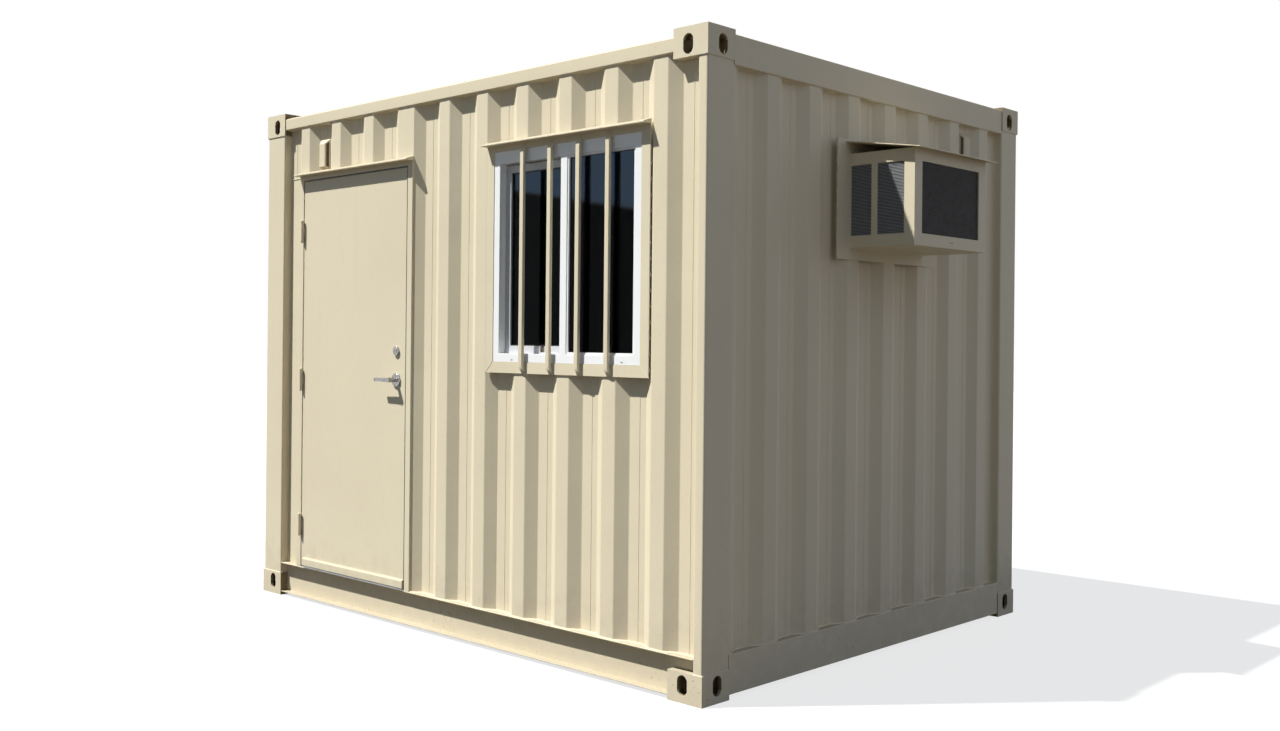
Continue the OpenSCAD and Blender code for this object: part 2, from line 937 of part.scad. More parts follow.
module lock_trim() {
    bolt_y = door_y0 - bolt_t;
    inner_y = door_y1 + bolt_t - core_t;
    color(satin) {
        for (y = [door_y0 - rose_t, door_y1])
            difference() {
                y_cylinder(rose_r, lock_x, lever_z, y, y + rose_t);
                y_cylinder(bore_r, lock_x, lever_z, y - over,
                    y + rose_t + over);
            }
        y_cylinder(bolt_r, lock_x, bolt_z, bolt_y, door_y0);
        y_cylinder(core_r, lock_x, bolt_z, bolt_y - core_t, bolt_y);
        y_cylinder(bolt_r, lock_x, bolt_z, door_y1, inner_y);
        block([lock_x - knob_w / 2, inner_y, bolt_z - knob_h / 2],
            [lock_x + knob_w / 2, inner_y + knob_d, bolt_z + knob_h / 2]);
    }
}

module lever() {
    hub_r = spindle_r + hub_wall;
    y0 = door_y0 - lever_reach;
    y1 = door_y1 + lever_reach;
    tip_x = lock_x - lever_l + grip_r;
    color(satin) {
        y_cylinder(spindle_r, lock_x, lever_z, y0, y1);
        for (y = [y0, y1 - lever_t]) {
            y_cylinder(hub_r, lock_x, lever_z, y, y + lever_t);
            y_cylinder(grip_r, tip_x, lever_z, y, y + lever_t);
            block([tip_x, y, lever_z - grip_r],
                [lock_x, y + lever_t, lever_z + grip_r]);
        }
    }
}

// Closed hood with a sloping top, from x0 to x1 with its foot at z
module hood(x0, x1, z) {
    y0 = -half_w - hood_reach;
    y1 = crest_setback - half_w;
    translate([x0, 0, z])
        rotate([90, 0, 90])
            linear_extrude(x1 - x0)
                polygon([
                    [y0, 0],
                    [y1, 0],
                    [y1, hood_t + hood_rise],
                    [y0, hood_t]]);
}

module rain_hoods() {
    color(paint) {
        hood(frame_x0, frame_x1, hood_z);
        hood(window_x0 - surround_face, window_x1 + surround_face,
            window_z1 + surround_head);
    }
}

// ---- Window ----

// Upright rectangle grown around the window frame, by one margin at the sides
// and the foot and another at the head
module window_block(side, head, y0, y1) {
    block([window_x0 - side, y0, window_z - side],
        [window_x1 + side, y1, window_z1 + head]);
}

module window_surround() {
    y0 = surround_d - half_w;
    y1 = lining_in - half_w;
    color(paint)
        difference() {
            union() {
                window_block(surround_face, surround_head, y0,
                    y0 + plate_t);
                window_block(sleeve_t, sleeve_t, y0, y1);
            }
            window_block(0, 0, y0 - over, y1 + over);
        }
}

module window_frame() {
    y1 = window_y0 + window_d;
    color(white) {
        difference() {
            window_block(0, 0, window_y0, y1);
            window_block(-window_face, -window_head, window_y0 - over,
                y1 + over);
        }
        block([window_xm - mullion_w / 2, window_y0,
                window_z + window_face - over],
            [sash_x1, window_y0 + mullion_d,
                window_z1 - window_head + over]);
    }
}

module sliding_sash() {
    color(white)
        difference() {
            block([sash_x0, sash_y, sash_z0],
                [sash_x1, sash_y + sash_d, sash_z1]);
            block([sash_x0 + sash_face, sash_y - over,
                    sash_z0 + sash_face],
                [sash_x1 - sash_face, sash_y + sash_d + over,
                    sash_z1 - sash_face]);
        }
}

module window_glass() {
    fixed_y = window_y0 + fixed_pane_d;
    pane_y = sash_y + sash_pane_d;
    color(glass) {
        block([sash_x1, fixed_y, window_z + window_face],
            [window_x1 - window_face, fixed_y + pane_t,
                window_z1 - window_head]);
        block([sash_x0 + sash_face, pane_y, sash_z0 + sash_face],
            [sash_x1 - sash_face, pane_y + pane_t, sash_z1 - sash_face]);
    }
}

module window_bars() {
    wall_y = surround_d - half_w;
    back_y = wall_y - bar_gap;
    front_y = back_y - bar_d;
    z0 = window_z - surround_face + bar_foot_edge;
    z1 = window_z1 + surround_head - bar_head_edge;
    color(paint)
        for (i = [1:bar_count])
            translate([window_x1 - i * bar_pitch - bar_w / 2, 0, 0])
                rotate([90, 0, 90])
                    linear_extrude(bar_w)
                        polygon([
                            [wall_y, z0], [wall_y, z0 + bar_land],
                            [back_y, z0 + bar_foot + bar_bend],
                            [back_y, z1 - bar_foot - bar_bend],
                            [wall_y, z1 - bar_land], [wall_y, z1],
                            [front_y, z1 - bar_foot],
                            [front_y, z0 + bar_foot]]);
}

// ---- Air conditioner cage ----

module cage_wall_frame() {
    x0 = cage_x0 - plate_t;
    x1 = cage_x0;
    color(paint)
        difference() {
            union() {
                block([x0, cage_y0 - cage_frame_side,
                        cage_z - cage_frame_foot],
                    [x1, cage_y1 + cage_frame_side,
                        cage_z1 + cage_frame_head]);
                block([half_l - end_lining_in, cage_in_y0 - sleeve_t,
                        cage_in_z0 - sleeve_t],
                    [x1, cage_in_y1 + sleeve_t, cage_in_z1 + sleeve_t]);
            }
            block([half_l - end_lining_in - over, cage_in_y0, cage_in_z0],
                [x1 + over, cage_in_y1, cage_in_z1]);
        }
}

// Plates in the cage's openings, set back from both faces of its frame:
// one in the front and two in each side
module cage_plates(mid) {
    z0 = cage_z + cage_rail;
    z1 = cage_z1 - cage_rail;
    xs = [[cage_x0, cage_x0 + cage_bay],
        [cage_x0 + cage_bay + cage_mullion, cage_bay_x1]];
    block([cage_x1 - cage_t + mid, cage_y0 + cage_stile, z0],
        [cage_x1 - mid, cage_y1 - cage_stile, z1]);
    for (x = xs, y = [cage_y0, cage_in_y1])
        block([x[0], y + mid, z0], [x[1], y + cage_t - mid, z1]);
}

module cage_frame() {
    color(paint)
        difference() {
            block([cage_x0, cage_y0, cage_z], [cage_x1, cage_y1, cage_z1]);
            block([cage_x0 - over, cage_in_y0, cage_in_z0],
                [cage_x1 - cage_t, cage_in_y1, cage_in_z1]);
            block([cage_x0 + cage_rail, cage_y0 + cage_stile,
                    cage_z + screen_t],
                [cage_x1 - cage_rail, cage_y1 - cage_stile,
                    cage_z1 + over]);
            cage_plates(-over);
        }
}

module cage_screens() {
    color(dark)
        cage_plates((cage_t - screen_t) / 2);
}

module cage_hood() {
    run = cage_x1 - cage_x0;
    drop = cage_hood_lap * cage_hood_rise / run;
    x1 = cage_x1 + cage_hood_lap;
    color(paint)
        translate([0, cage_y1 + cage_hood_side, 0])
            rotate([90, 0, 0])
                linear_extrude(cage_w + 2 * cage_hood_side)
                    polygon([
                        [cage_x0, cage_z1 + cage_hood_rise],
                        [x1, cage_z1 - drop],
                        [x1, cage_z1 - drop + cage_hood_t],
                        [cage_x0, cage_z1 + cage_hood_rise
                            + cage_hood_t]]);
}

// ---- Vents ----

// Vent cover on a valley at the origin, with its face turned to -Y
module vent() {
    w = vent_w / 2;
    face = w - vent_side;
    intersection() {
        linear_extrude(vent_h)
            polygon([[-w, 0], [-face, -vent_d], [face, -vent_d], [w, 0]]);
        rotate([90, 0, 90])
            linear_extrude(vent_w, center = true)
                polygon([[0, 0], [-vent_d, vent_foot],
                    [-vent_d, vent_h - vent_top],
                    [0, vent_h]]);
    }
}

module vents() {
    z = top_rail_z0 - vent_drop - vent_h;
    x = over_door_edge - 2 * over_door_pitch + corr_slope
        + over_door_flat / 2;
    color(paint) {
        translate([x, valley - half_w, z])
            vent();
        rotate([0, 0, 90])
            translate([vent_y, valley - half_l, z])
                vent();
    }
}

corner_castings();
corner_posts();
top_side_rails();
bottom_side_rails();
top_end_rails();
bottom_end_rails();
cross_members();
floor_deck();
roof_panel();
front_wall_piers();
front_wall_infills();
back_wall();
left_end_wall();
right_wall_piers();
right_wall_infills();
front_lining_piers();
front_lining_infills();
back_lining();
left_lining();
right_lining_piers();
right_lining_infills();
ceiling_lining();
door_frame();
threshold();
door_leaf();
door_sweep();
hinge_frame_halves();
hinge_door_halves();
lock_trim();
lever();
rain_hoods();
window_surround();
window_frame();
sliding_sash();
window_glass();
window_bars();
cage_wall_frame();
cage_frame();
cage_screens();
cage_hood();
vents();
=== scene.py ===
# Office container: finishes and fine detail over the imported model.
import json
import math
import bmesh
import bpy
from mathutils import Matrix, Vector

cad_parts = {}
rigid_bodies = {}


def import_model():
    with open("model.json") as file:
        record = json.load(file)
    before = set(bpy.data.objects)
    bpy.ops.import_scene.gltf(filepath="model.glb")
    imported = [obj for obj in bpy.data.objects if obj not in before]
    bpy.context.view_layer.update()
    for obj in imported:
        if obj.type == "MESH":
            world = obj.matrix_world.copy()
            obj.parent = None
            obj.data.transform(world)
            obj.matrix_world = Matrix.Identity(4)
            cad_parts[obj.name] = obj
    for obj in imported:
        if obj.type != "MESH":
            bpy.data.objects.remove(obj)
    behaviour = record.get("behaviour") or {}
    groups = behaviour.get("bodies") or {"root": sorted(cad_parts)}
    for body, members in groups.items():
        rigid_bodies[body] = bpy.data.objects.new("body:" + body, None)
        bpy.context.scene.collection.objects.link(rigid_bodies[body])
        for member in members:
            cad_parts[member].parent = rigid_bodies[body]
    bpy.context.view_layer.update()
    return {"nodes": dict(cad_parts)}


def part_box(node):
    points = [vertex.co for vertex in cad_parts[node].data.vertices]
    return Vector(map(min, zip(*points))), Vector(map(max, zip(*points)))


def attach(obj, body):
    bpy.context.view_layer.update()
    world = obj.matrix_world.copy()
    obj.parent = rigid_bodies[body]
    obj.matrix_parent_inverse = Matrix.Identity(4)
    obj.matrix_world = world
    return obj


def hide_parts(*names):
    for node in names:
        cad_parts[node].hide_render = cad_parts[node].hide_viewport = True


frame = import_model()
nodes = frame["nodes"]
mm = 0.001
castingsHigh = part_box("corner_castings")[1]
print("frame loaded:", len(nodes), "CAD nodes")


# Shader maths

shaderLook = {"steep": 0.5, "level": 0.95}  # upward share of a normal where dust, and on the steel painted shade, starts, is full


class Wire:  # one output of a node, with arithmetic
    def __init__(self, recipe, socket):
        self.recipe = recipe
        self.socket = socket

    def sum(self, operation, *others):
        values = {index + 1: other for index, other in enumerate(others)}
        values[0] = self
        return self.recipe.add("ShaderNodeMath", {"operation": operation}, values)

    def __add__(self, other):
        return self.sum("ADD", other)

    __radd__ = __add__

    def __mul__(self, other):
        return self.sum("MULTIPLY", other)

    __rmul__ = __mul__

    def __sub__(self, other):
        return self.sum("SUBTRACT", other)

    def __rsub__(self, other):
        return self.recipe.add("ShaderNodeMath", {"operation": "SUBTRACT"}, {0: other, 1: self})

    def __mod__(self, other):
        return self.sum("FLOORED_MODULO", other)

    def __abs__(self):
        return self.sum("ABSOLUTE")


class Recipe:  # the nodes of one material
    def __init__(self, name):
        self.material = bpy.data.materials.new(name)
        self.material.use_nodes = True
        self.tree = self.material.node_tree
        self.shader = self.tree.nodes["Principled BSDF"]
        self.place = self.add("ShaderNodeTexCoord", output="Object")

    def add(self, kind, settings=None, inputs=None, output=0):
        node = self.tree.nodes.new(kind)
        for key, value in (settings or {}).items():
            setattr(node, key, value)
        for key, value in (inputs or {}).items():
            self.plug(node.inputs[key], value)
        return Wire(self, node.outputs[output])

    def plug(self, socket, value):
        if isinstance(value, Wire):
            self.tree.links.new(value.socket, socket)
        else:
            socket.default_value = value

    def noise(self, scale, detail=2, stretch=(1, 1, 1)):
        spot = self.place
        if stretch != (1, 1, 1):
            spot = self.add("ShaderNodeMapping", {}, {"Vector": spot, "Scale": stretch})
        return self.add("ShaderNodeTexNoise", {},
                        {"Vector": spot, "Scale": scale, "Detail": detail})

    def between(self, value, low, high):  # 0 under low, 1 over high
        return self.add("ShaderNodeMapRange", {"interpolation_type": "SMOOTHSTEP"},
                        {"Value": value, "From Min": low, "From Max": high})

    def blend(self, mask, colourA, colourB):
        return self.add("ShaderNodeMix", {"data_type": "RGBA"}, {0: mask, 6: colourA, 7: colourB}, 2)

    def axis(self, letter):
        return self.add("ShaderNodeSeparateXYZ", {}, {0: self.place}, letter)

    def facingUp(self):
        normal = self.add("ShaderNodeNewGeometry", output="Normal")
        upward = self.add("ShaderNodeSeparateXYZ", {}, {0: normal}, "Z")
        return self.between(upward, shaderLook["steep"], shaderLook["level"])

    def bump(self, height, depth, strength=1.0):
        return self.add("ShaderNodeBump", {},
                        {"Height": height, "Distance": depth, "Strength": strength})

    def finish(self, **sockets):
        for name, value in sockets.items():
            self.plug(self.shader.inputs[name.replace("_", " ")], value)
        return self.material


def rgb(red, green, blue):
    return (red, green, blue, 1)


# Finishes

# the dust colour also carries painted shade on the steel's upward faces
paintLook = {
    "fresh": rgb(0.725, 0.645, 0.480), "weathered": rgb(0.680, 0.597, 0.441),
    "streak": rgb(0.47, 0.395, 0.285), "splash": rgb(0.37, 0.30, 0.215),
    "rust": rgb(0.21, 0.085, 0.035), "dust": rgb(0.37, 0.32, 0.235),
    "splashTop": 0.62, "sheen": 0.15,
}


def steelPaint(name, roughness=0.4, texture=0.02, dents=0.0025, rust=0.25):
    recipe = Recipe(name)
    fleck = recipe.noise(46, 4)
    patches = recipe.between(recipe.noise(1.1, 3), 0.34, 0.70)
    runs = recipe.between(recipe.noise(11, 3, (1, 1, 0.07)), 0.56, 0.74)
    foot = 1 - recipe.between(recipe.axis("Z"), 0.04, paintLook["splashTop"])
    splash = recipe.between(recipe.noise(17, 5) * 0.6 + foot * 0.5, 0.52, 0.86)
    specks = recipe.between(recipe.noise(88, 2), 0.69, 0.73)
    rustSpots = specks * recipe.between(recipe.noise(2.7, 2) + foot * 0.12, 0.56, 0.68) * rust
    colour = recipe.blend(patches * 0.55, paintLook["fresh"], paintLook["weathered"])
    colour = recipe.blend(recipe.between(fleck, 0.54, 0.74) * 0.08, colour, paintLook["streak"])
    colour = recipe.blend(runs * 0.05, colour, paintLook["streak"])
    colour = recipe.blend(splash * 0.16, colour, paintLook["splash"])
    colour = recipe.blend(rustSpots, colour, paintLook["rust"])
    dustAndTopShade = recipe.facingUp() * (recipe.noise(1.7, 4) * 0.35 + 0.62)  # dust on what faces the sky, and painted shade: darker tops against the strong key light and darker ledges under walls
    colour = recipe.blend(dustAndTopShade, colour, paintLook["dust"])
    height = recipe.noise(3.4, 2) + recipe.noise(270, 2) * texture
    return recipe.finish(
        Base_Color=colour, Normal=recipe.bump(height, dents), Specular_IOR_Level=paintLook["sheen"],
        Roughness=fleck * 0.14 + (splash + dustAndTopShade) * 0.2 + rustSpots * 0.3 + (roughness - 0.07))


sheetPaint = steelPaint("sheetPaint")
rollPaint = steelPaint("rollPaint", roughness=0.44, texture=0.05, dents=0.0016, rust=0.6)
castPaint = steelPaint("castPaint", roughness=0.52, texture=0.22, dents=0.0030, rust=0.95)
weldPaint = steelPaint("weldPaint", roughness=0.36, texture=0.45, dents=0.0022, rust=0.15)
doorPaint = steelPaint("doorPaint", roughness=0.37, texture=0.035, dents=0.0012, rust=0.12)


def liningFinish():
    recipe = Recipe("liningFinish")
    pitch = 1.0  # width of one insulated panel
    along = recipe.axis("X") + recipe.axis("Y") + 20.19
    joint = 1 - recipe.between(abs((along % pitch) - pitch / 2), 0.0015, 0.004)
    scuff = recipe.between(recipe.noise(7, 4, (1, 1, 0.4)), 0.55, 0.8)
    grain = recipe.noise(160, 3)
    colour = recipe.blend(scuff * 0.25, rgb(0.80, 0.80, 0.78), rgb(0.66, 0.655, 0.63))
    colour = recipe.blend(joint * 0.8, colour, rgb(0.30, 0.30, 0.29))
    return recipe.finish(Base_Color=colour, Roughness=grain * 0.15 + scuff * 0.1 + 0.38,
                         Normal=recipe.bump(grain * 0.25 - joint, 0.0009))


def plywoodFinish():
    recipe = Recipe("plywoodFinish")
    pitch = 1.2  # width of one sheet of plywood
    joint = 1 - recipe.between(abs(((recipe.axis("X") + 30) % pitch) - pitch / 2), 0.001, 0.003)
    warp = recipe.noise(2.2, 3, (1.0, 4.5, 1.0))
    grain = recipe.noise(60, 4, (0.09, 1.0, 1.0))
    figure = recipe.between(warp * 0.6 + grain * 0.5, 0.34, 0.74)
    wear = recipe.between(recipe.noise(5, 4), 0.52, 0.74)
    colour = recipe.blend(figure, rgb(0.37, 0.215, 0.105), rgb(0.60, 0.40, 0.22))
    colour = recipe.blend(wear * 0.35, colour, rgb(0.30, 0.235, 0.17))
    colour = recipe.blend(joint, colour, rgb(0.05, 0.035, 0.025))
    return recipe.finish(Base_Color=colour, Roughness=wear * 0.2 + grain * 0.15 + 0.46,
                         Normal=recipe.bump(grain - joint, 0.0006))


def metalFinish(name, colourA, colourB, roughness, stretch):
    recipe = Recipe(name)
    brushing = recipe.noise(420, 2, stretch)
    # smears; their darker shades also stand in for dark surroundings mirrored in the metal: painted
    # reflection
    smearsAndDarkReflection = recipe.between(recipe.noise(26, 4), 0.48, 0.76)
    return recipe.finish(
        Base_Color=recipe.blend(smearsAndDarkReflection * 0.6 + brushing * 0.3, colourA, colourB), Metallic=1.0,
        Roughness=brushing * 0.14 + smearsAndDarkReflection * 0.12 + (roughness - 0.08),
        Normal=recipe.bump(brushing, 0.00012))


def vinylFinish(name, colourA, colourB):
    recipe = Recipe(name)
    dust = recipe.between(recipe.noise(14, 5), 0.50, 0.78)
    chalk = recipe.noise(95, 3)
    colour = recipe.blend(dust * 0.15, colourA, colourB)
    colour = recipe.blend(dust * recipe.facingUp() * 0.6, colour, rgb(0.47, 0.41, 0.32))
    return recipe.finish(Base_Color=colour, Roughness=chalk * 0.10 + dust * 0.12 + 0.27,
                         Normal=recipe.bump(chalk, 0.00015))


def glassFinish():  # dark and tinted, with blue-tinted reflections and a painted blue sky reflection over the upper part
    recipe = Recipe("glassFinish")
    film = recipe.between(recipe.noise(6, 5), 0.45, 0.85)
    # painted reflection: a bluer, partly metallic colour over the upper part stands in for the sky
    # mirrored there
    sheen = recipe.between(recipe.axis("Z") + recipe.axis("X") * 0.17, 2.10, 2.13)
    colour = recipe.blend(film, rgb(0.115, 0.105, 0.105), rgb(0.125, 0.12, 0.115))
    return recipe.finish(Base_Color=recipe.blend(sheen, colour, rgb(0.10, 0.15, 0.22)),
                         Metallic=sheen * 0.25, Roughness=film * 0.03, Transmission_Weight=1.0,
                         IOR=1.14, Specular_Tint=rgb(0.2, 0.3, 0.4))


def darkFinish(name, colourA, colourB, roughness, texture, sheen=0.5):
    recipe = Recipe(name)
    dust = recipe.between(recipe.noise(30, 5), 0.45, 0.80)
    grit = recipe.noise(320, 2)
    return recipe.finish(Base_Color=recipe.blend(dust, colourA, colourB),
                         Roughness=dust * 0.2 + grit * 0.1 + (roughness - 0.05),
                         Specular_IOR_Level=sheen, Normal=recipe.bump(grit, texture))


lining = liningFinish()
plywood = plywoodFinish()
aluminium = metalFinish("aluminiumFinish", rgb(0.60, 0.61, 0.62), rgb(0.40, 0.40, 0.40), 0.40,
                        (0.02, 1, 1))
# the steel's dark second colour is partly painted reflection, for the dark surroundings its satin
# face mirrors
steel = metalFinish("steelFinish", rgb(0.42, 0.415, 0.41), rgb(0.10, 0.095, 0.085), 0.26,
                    (0.05, 1, 1))
vinyl = vinylFinish("vinylFinish", rgb(0.86, 0.87, 0.88), rgb(0.70, 0.68, 0.63))
sashVinyl = vinylFinish("sashVinyl", rgb(0.53, 0.54, 0.56), rgb(0.46, 0.45, 0.43))
glass = glassFinish()
# near-black screen plates: painted shade, the dark seen behind and between the slats
behindSlatShadePaint = darkFinish("behindSlatShadePaint", rgb(0.020, 0.020, 0.022), rgb(0.035, 0.033, 0.031),
                         0.55, 0.0003)
# a shaded and a lit copy of one slat paint: painted shade for slats out of the key light, painted
# light for the slats facing it
shadedSlatPaint = darkFinish("shadedSlatPaint", rgb(0.030, 0.031, 0.035), rgb(0.042, 0.041, 0.040),
                       0.50, 0.0003, 0.15)
sunlitSlatPaint = darkFinish("sunlitSlatPaint", rgb(0.380, 0.385, 0.400), rgb(0.410, 0.410, 0.405),
                            0.38, 0.0003)
# painted shade for the insides of the casting holes
hollowShadePaint = darkFinish("hollowShadePaint", rgb(0.200, 0.150, 0.075), rgb(0.100, 0.072, 0.040),
                         0.75, 0.0006)
# painted shade for pockets and openings: the sash notches and the vent mouths
recessShadePaint = darkFinish("recessShadePaint", rgb(0.120, 0.090, 0.055), rgb(0.075, 0.060, 0.040),
                        0.80, 0.0006)
rubber = darkFinish("rubberFinish", rgb(0.018, 0.018, 0.019), rgb(0.050, 0.047, 0.044),
                    0.62, 0.0004)
print("finishes mixed")


# Shaping

def pick(piece):
    bpy.ops.object.select_all(action="DESELECT")
    piece.select_set(True)
    bpy.context.view_layer.objects.active = piece


def openEdit(piece):
    pick(piece)
    bpy.ops.object.mode_set(mode="EDIT")
    bpy.ops.mesh.select_all(action="DESELECT")


def closeEdit():
    bpy.ops.object.mode_set(mode="OBJECT")


def choose(piece, kind, test):  # kind is verts, edges or faces
    bpy.ops.mesh.select_mode(type={"verts": "VERT", "edges": "EDGE", "faces": "FACE"}[kind])
    bpy.ops.mesh.select_all(action="DESELECT")
    drawing = bmesh.from_edit_mesh(piece.data)
    for part in getattr(drawing, kind):
        if test(part):
            part.select_set(True)
    bmesh.update_edit_mesh(piece.data)


def runsAlong(edge, axis):
    step = edge.verts[1].co - edge.verts[0].co
    return abs(step[axis]) > 0.999 * step.length


def roundEdges(piece, radius, segments=2, test=None, sharpest=40):
    openEdit(piece)
    choose(piece, "edges", lambda edge: edge.is_convex
           and edge.calc_face_angle(0) > math.radians(sharpest) and (test is None or test(edge)))
    bpy.ops.mesh.bevel(offset=radius, segments=segments, affect="EDGES", clamp_overlap=True)
    closeEdit()
    return piece


def block(name, low, high):
    low, high = Vector(low), Vector(high)
    bpy.ops.object.select_all(action="DESELECT")
    bpy.ops.mesh.primitive_cube_add(size=1, location=(low + high) / 2)
    piece = bpy.context.object
    piece.name = name
    piece.scale = high - low
    bpy.ops.object.transform_apply(location=True, rotation=True, scale=True)
    return piece


def drum(name, radius, start, end, sides=40):  # round bar along one axis
    start, end = Vector(start), Vector(end)
    step = end - start
    bpy.ops.object.select_all(action="DESELECT")
    bpy.ops.mesh.primitive_cylinder_add(vertices=sides, radius=radius, depth=step.length,
                                        location=(start + end) / 2,
                                        rotation=step.to_track_quat("Z", "Y").to_euler())
    piece = bpy.context.object
    piece.name = name
    bpy.ops.object.transform_apply(location=True, rotation=True, scale=True)
    return piece


def ringFrame(name, low, high, face):  # upright rectangular frame facing along Y
    low, high = Vector(low), Vector(high)
    bpy.ops.object.select_all(action="DESELECT")
    centre = ((low.x + high.x) / 2, low.y, (low.z + high.z) / 2)
    bpy.ops.mesh.primitive_plane_add(size=1, location=centre, rotation=(math.pi / 2, 0, 0))
    piece = bpy.context.object
    piece.name = name
    piece.scale = (high.x - low.x, high.z - low.z, 1)
    bpy.ops.object.transform_apply(location=True, rotation=True, scale=True)
    openEdit(piece)
    choose(piece, "faces", lambda part: True)
    bpy.ops.mesh.inset(thickness=face)
    bpy.ops.mesh.delete(type="FACE")
    choose(piece, "faces", lambda part: True)
    bpy.ops.mesh.extrude_region_move(TRANSFORM_OT_translate={"value": (0, high.y - low.y, 0)})
    bpy.ops.mesh.select_all(action="SELECT")
    bpy.ops.mesh.normals_make_consistent(inside=False)
    closeEdit()
    return piece


def joined(name, pieces):
    bpy.ops.object.select_all(action="DESELECT")
    for piece in pieces:
        piece.select_set(True)
    bpy.context.view_layer.objects.active = pieces[0]
    if len(pieces) > 1:
        bpy.ops.object.join()
    pieces[0].name = name
    return pieces[0]


def copied(piece, step):
    bpy.ops.object.select_all(action="DESELECT")
    twin = bpy.data.objects.new(piece.name, piece.data.copy())
    bpy.context.scene.collection.objects.link(twin)
    twin.location = step
    pick(twin)
    bpy.ops.object.transform_apply(location=True, rotation=True, scale=True)
    return twin


def copyOf(name, source):  # a CAD node's shape, merged and ready to work on
    piece = bpy.data.objects.new(name, nodes[source].data.copy())
    bpy.context.scene.collection.objects.link(piece)
    pick(piece)
    bpy.ops.mesh.customdata_custom_splitnormals_clear()
    openEdit(piece)
    bpy.ops.mesh.select_all(action="SELECT")
    bpy.ops.mesh.remove_doubles(threshold=0.02 * mm)
    bpy.ops.mesh.dissolve_limited(angle_limit=math.radians(0.4))
    closeEdit()
    return piece


def settle(piece, finish, body="shell", replaced=(), smoothAngle=38):
    pick(piece)
    bpy.ops.object.shade_smooth_by_angle(angle=math.radians(smoothAngle))
    piece.modifiers.new("evenShading", "WEIGHTED_NORMAL").keep_sharp = True
    bpy.ops.object.modifier_apply(modifier="evenShading")
    piece.data.materials.clear()
    piece.data.materials.append(finish)
    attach(piece, body)
    if replaced:
        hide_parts(*replaced)
    return piece


def refinish(piece, finish, test):  # another finish on the faces that pass a test
    piece.data.materials.append(finish)
    openEdit(piece)
    choose(piece, "faces", test)
    piece.active_material_index = len(piece.data.materials) - 1
    bpy.ops.object.material_slot_assign()
    closeEdit()


def traced(name, lines, radius, sides=1):  # round beads along lines of points
    bpy.ops.object.select_all(action="DESELECT")
    bpy.ops.mesh.primitive_plane_add(size=mm, location=lines[0][0])
    piece = bpy.context.object
    piece.name = name
    piece.location = (0, 0, 0)
    bpy.ops.object.mode_set(mode="EDIT")
    bpy.ops.mesh.select_mode(type="VERT")
    bpy.ops.mesh.select_all(action="SELECT")
    bpy.ops.mesh.delete(type="VERT")
    for line in lines:
        bpy.ops.mesh.primitive_plane_add(size=mm, location=line[0])
        bpy.ops.mesh.merge(type="CENTER")
        for near, far in zip(line, line[1:]):
            step = Vector(far) - Vector(near)
            bpy.ops.mesh.extrude_region_move(TRANSFORM_OT_translate={"value": step})
    closeEdit()
    bpy.ops.object.convert(target="CURVE")
    piece = bpy.context.object
    piece.data.bevel_depth = radius
    piece.data.bevel_resolution = sides
    piece.data.use_fill_caps = True
    bpy.ops.object.convert(target="MESH")
    return bpy.context.object


# Places read off the CAD nodes

def outlineOf(sources, height, along, out):  # outer points of folded walls at one height
    rows = {}
    for source in sources:
        for vertex in nodes[source].data.vertices:
            spot = vertex.co
            if abs(spot.z - height) < 0.5 * mm:
                key = round(spot[along], 4)
                depth = spot[1 - along]
                rows[key] = max(rows[key], depth * out) if key in rows else depth * out
    return [(key, rows[key] * out) for key in sorted(rows)]


def wallSpot(key, depth, height, along):
    return Vector((key, depth, height)) if along == 0 else Vector((depth, key, height))


def runOf(points, height, along, low=-9, high=9):
    return [wallSpot(key, depth, height, along) for key, depth in points if low <= key <= high]


postsLow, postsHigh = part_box("corner_posts")
topRailLow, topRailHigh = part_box("top_side_rails")
leafLow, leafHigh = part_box("door_leaf")
doorwayLow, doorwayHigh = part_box("door_frame")
surroundLow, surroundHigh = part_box("window_surround")
wallFrameLow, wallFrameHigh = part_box("cage_wall_frame")
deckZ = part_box("bottom_side_rails")[1].z
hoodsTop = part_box("rain_hoods")[1].z


# Castings, posts and rails

frameLook = {"castingEdge": 6 * mm, "postEdge": 8 * mm, "railEdge": 5 * mm, "flangeEdge": 1.6 * mm,
             "bead": 4 * mm, "beadRun": 154 * mm}
castingZs = {round(vertex.co.z, 4) for vertex in nodes["corner_castings"].data.vertices}
castingHeight = max(z for z in castingZs if z < castingsHigh.z / 2)

castings = copyOf("castings", "corner_castings")
roundEdges(castings, frameLook["castingEdge"], 3)
settle(castings, castPaint, replaced=["corner_castings"])


def insideCasting(face):  # clear of the six outer faces of its casting
    spot = face.calc_center_median()
    skin = frameLook["castingEdge"] + mm
    high = castingsHigh.z if spot.z > castingsHigh.z / 2 else castingHeight
    return (castingsHigh.x - abs(spot.x) > skin and castingsHigh.y - abs(spot.y) > skin
            and high - castingHeight + skin < spot.z < high - skin)


# the insides of the casting holes get painted shade
refinish(castings, hollowShadePaint, insideCasting)

posts = copyOf("posts", "corner_posts")
roundEdges(posts, frameLook["postEdge"], 4, lambda edge: runsAlong(edge, 2))
settle(posts, rollPaint, replaced=["corner_posts"])

for title, source, axis, radius in (
        ("topSideRails", "top_side_rails", 0, "railEdge"),
        ("topEndRails", "top_end_rails", 1, "railEdge"),
        ("bottomEndRails", "bottom_end_rails", 1, "railEdge"),
        ("bottomSideRails", "bottom_side_rails", 0, "flangeEdge")):
    rail = copyOf(title, source)
    roundEdges(rail, frameLook[radius], 3, lambda edge: runsAlong(edge, axis))
    settle(rail, rollPaint, replaced=[source])

for place in nodes["cross_members"].material_slots:
    place.material = rollPaint
print("castings, posts and rails made")


# Folded walls and roof

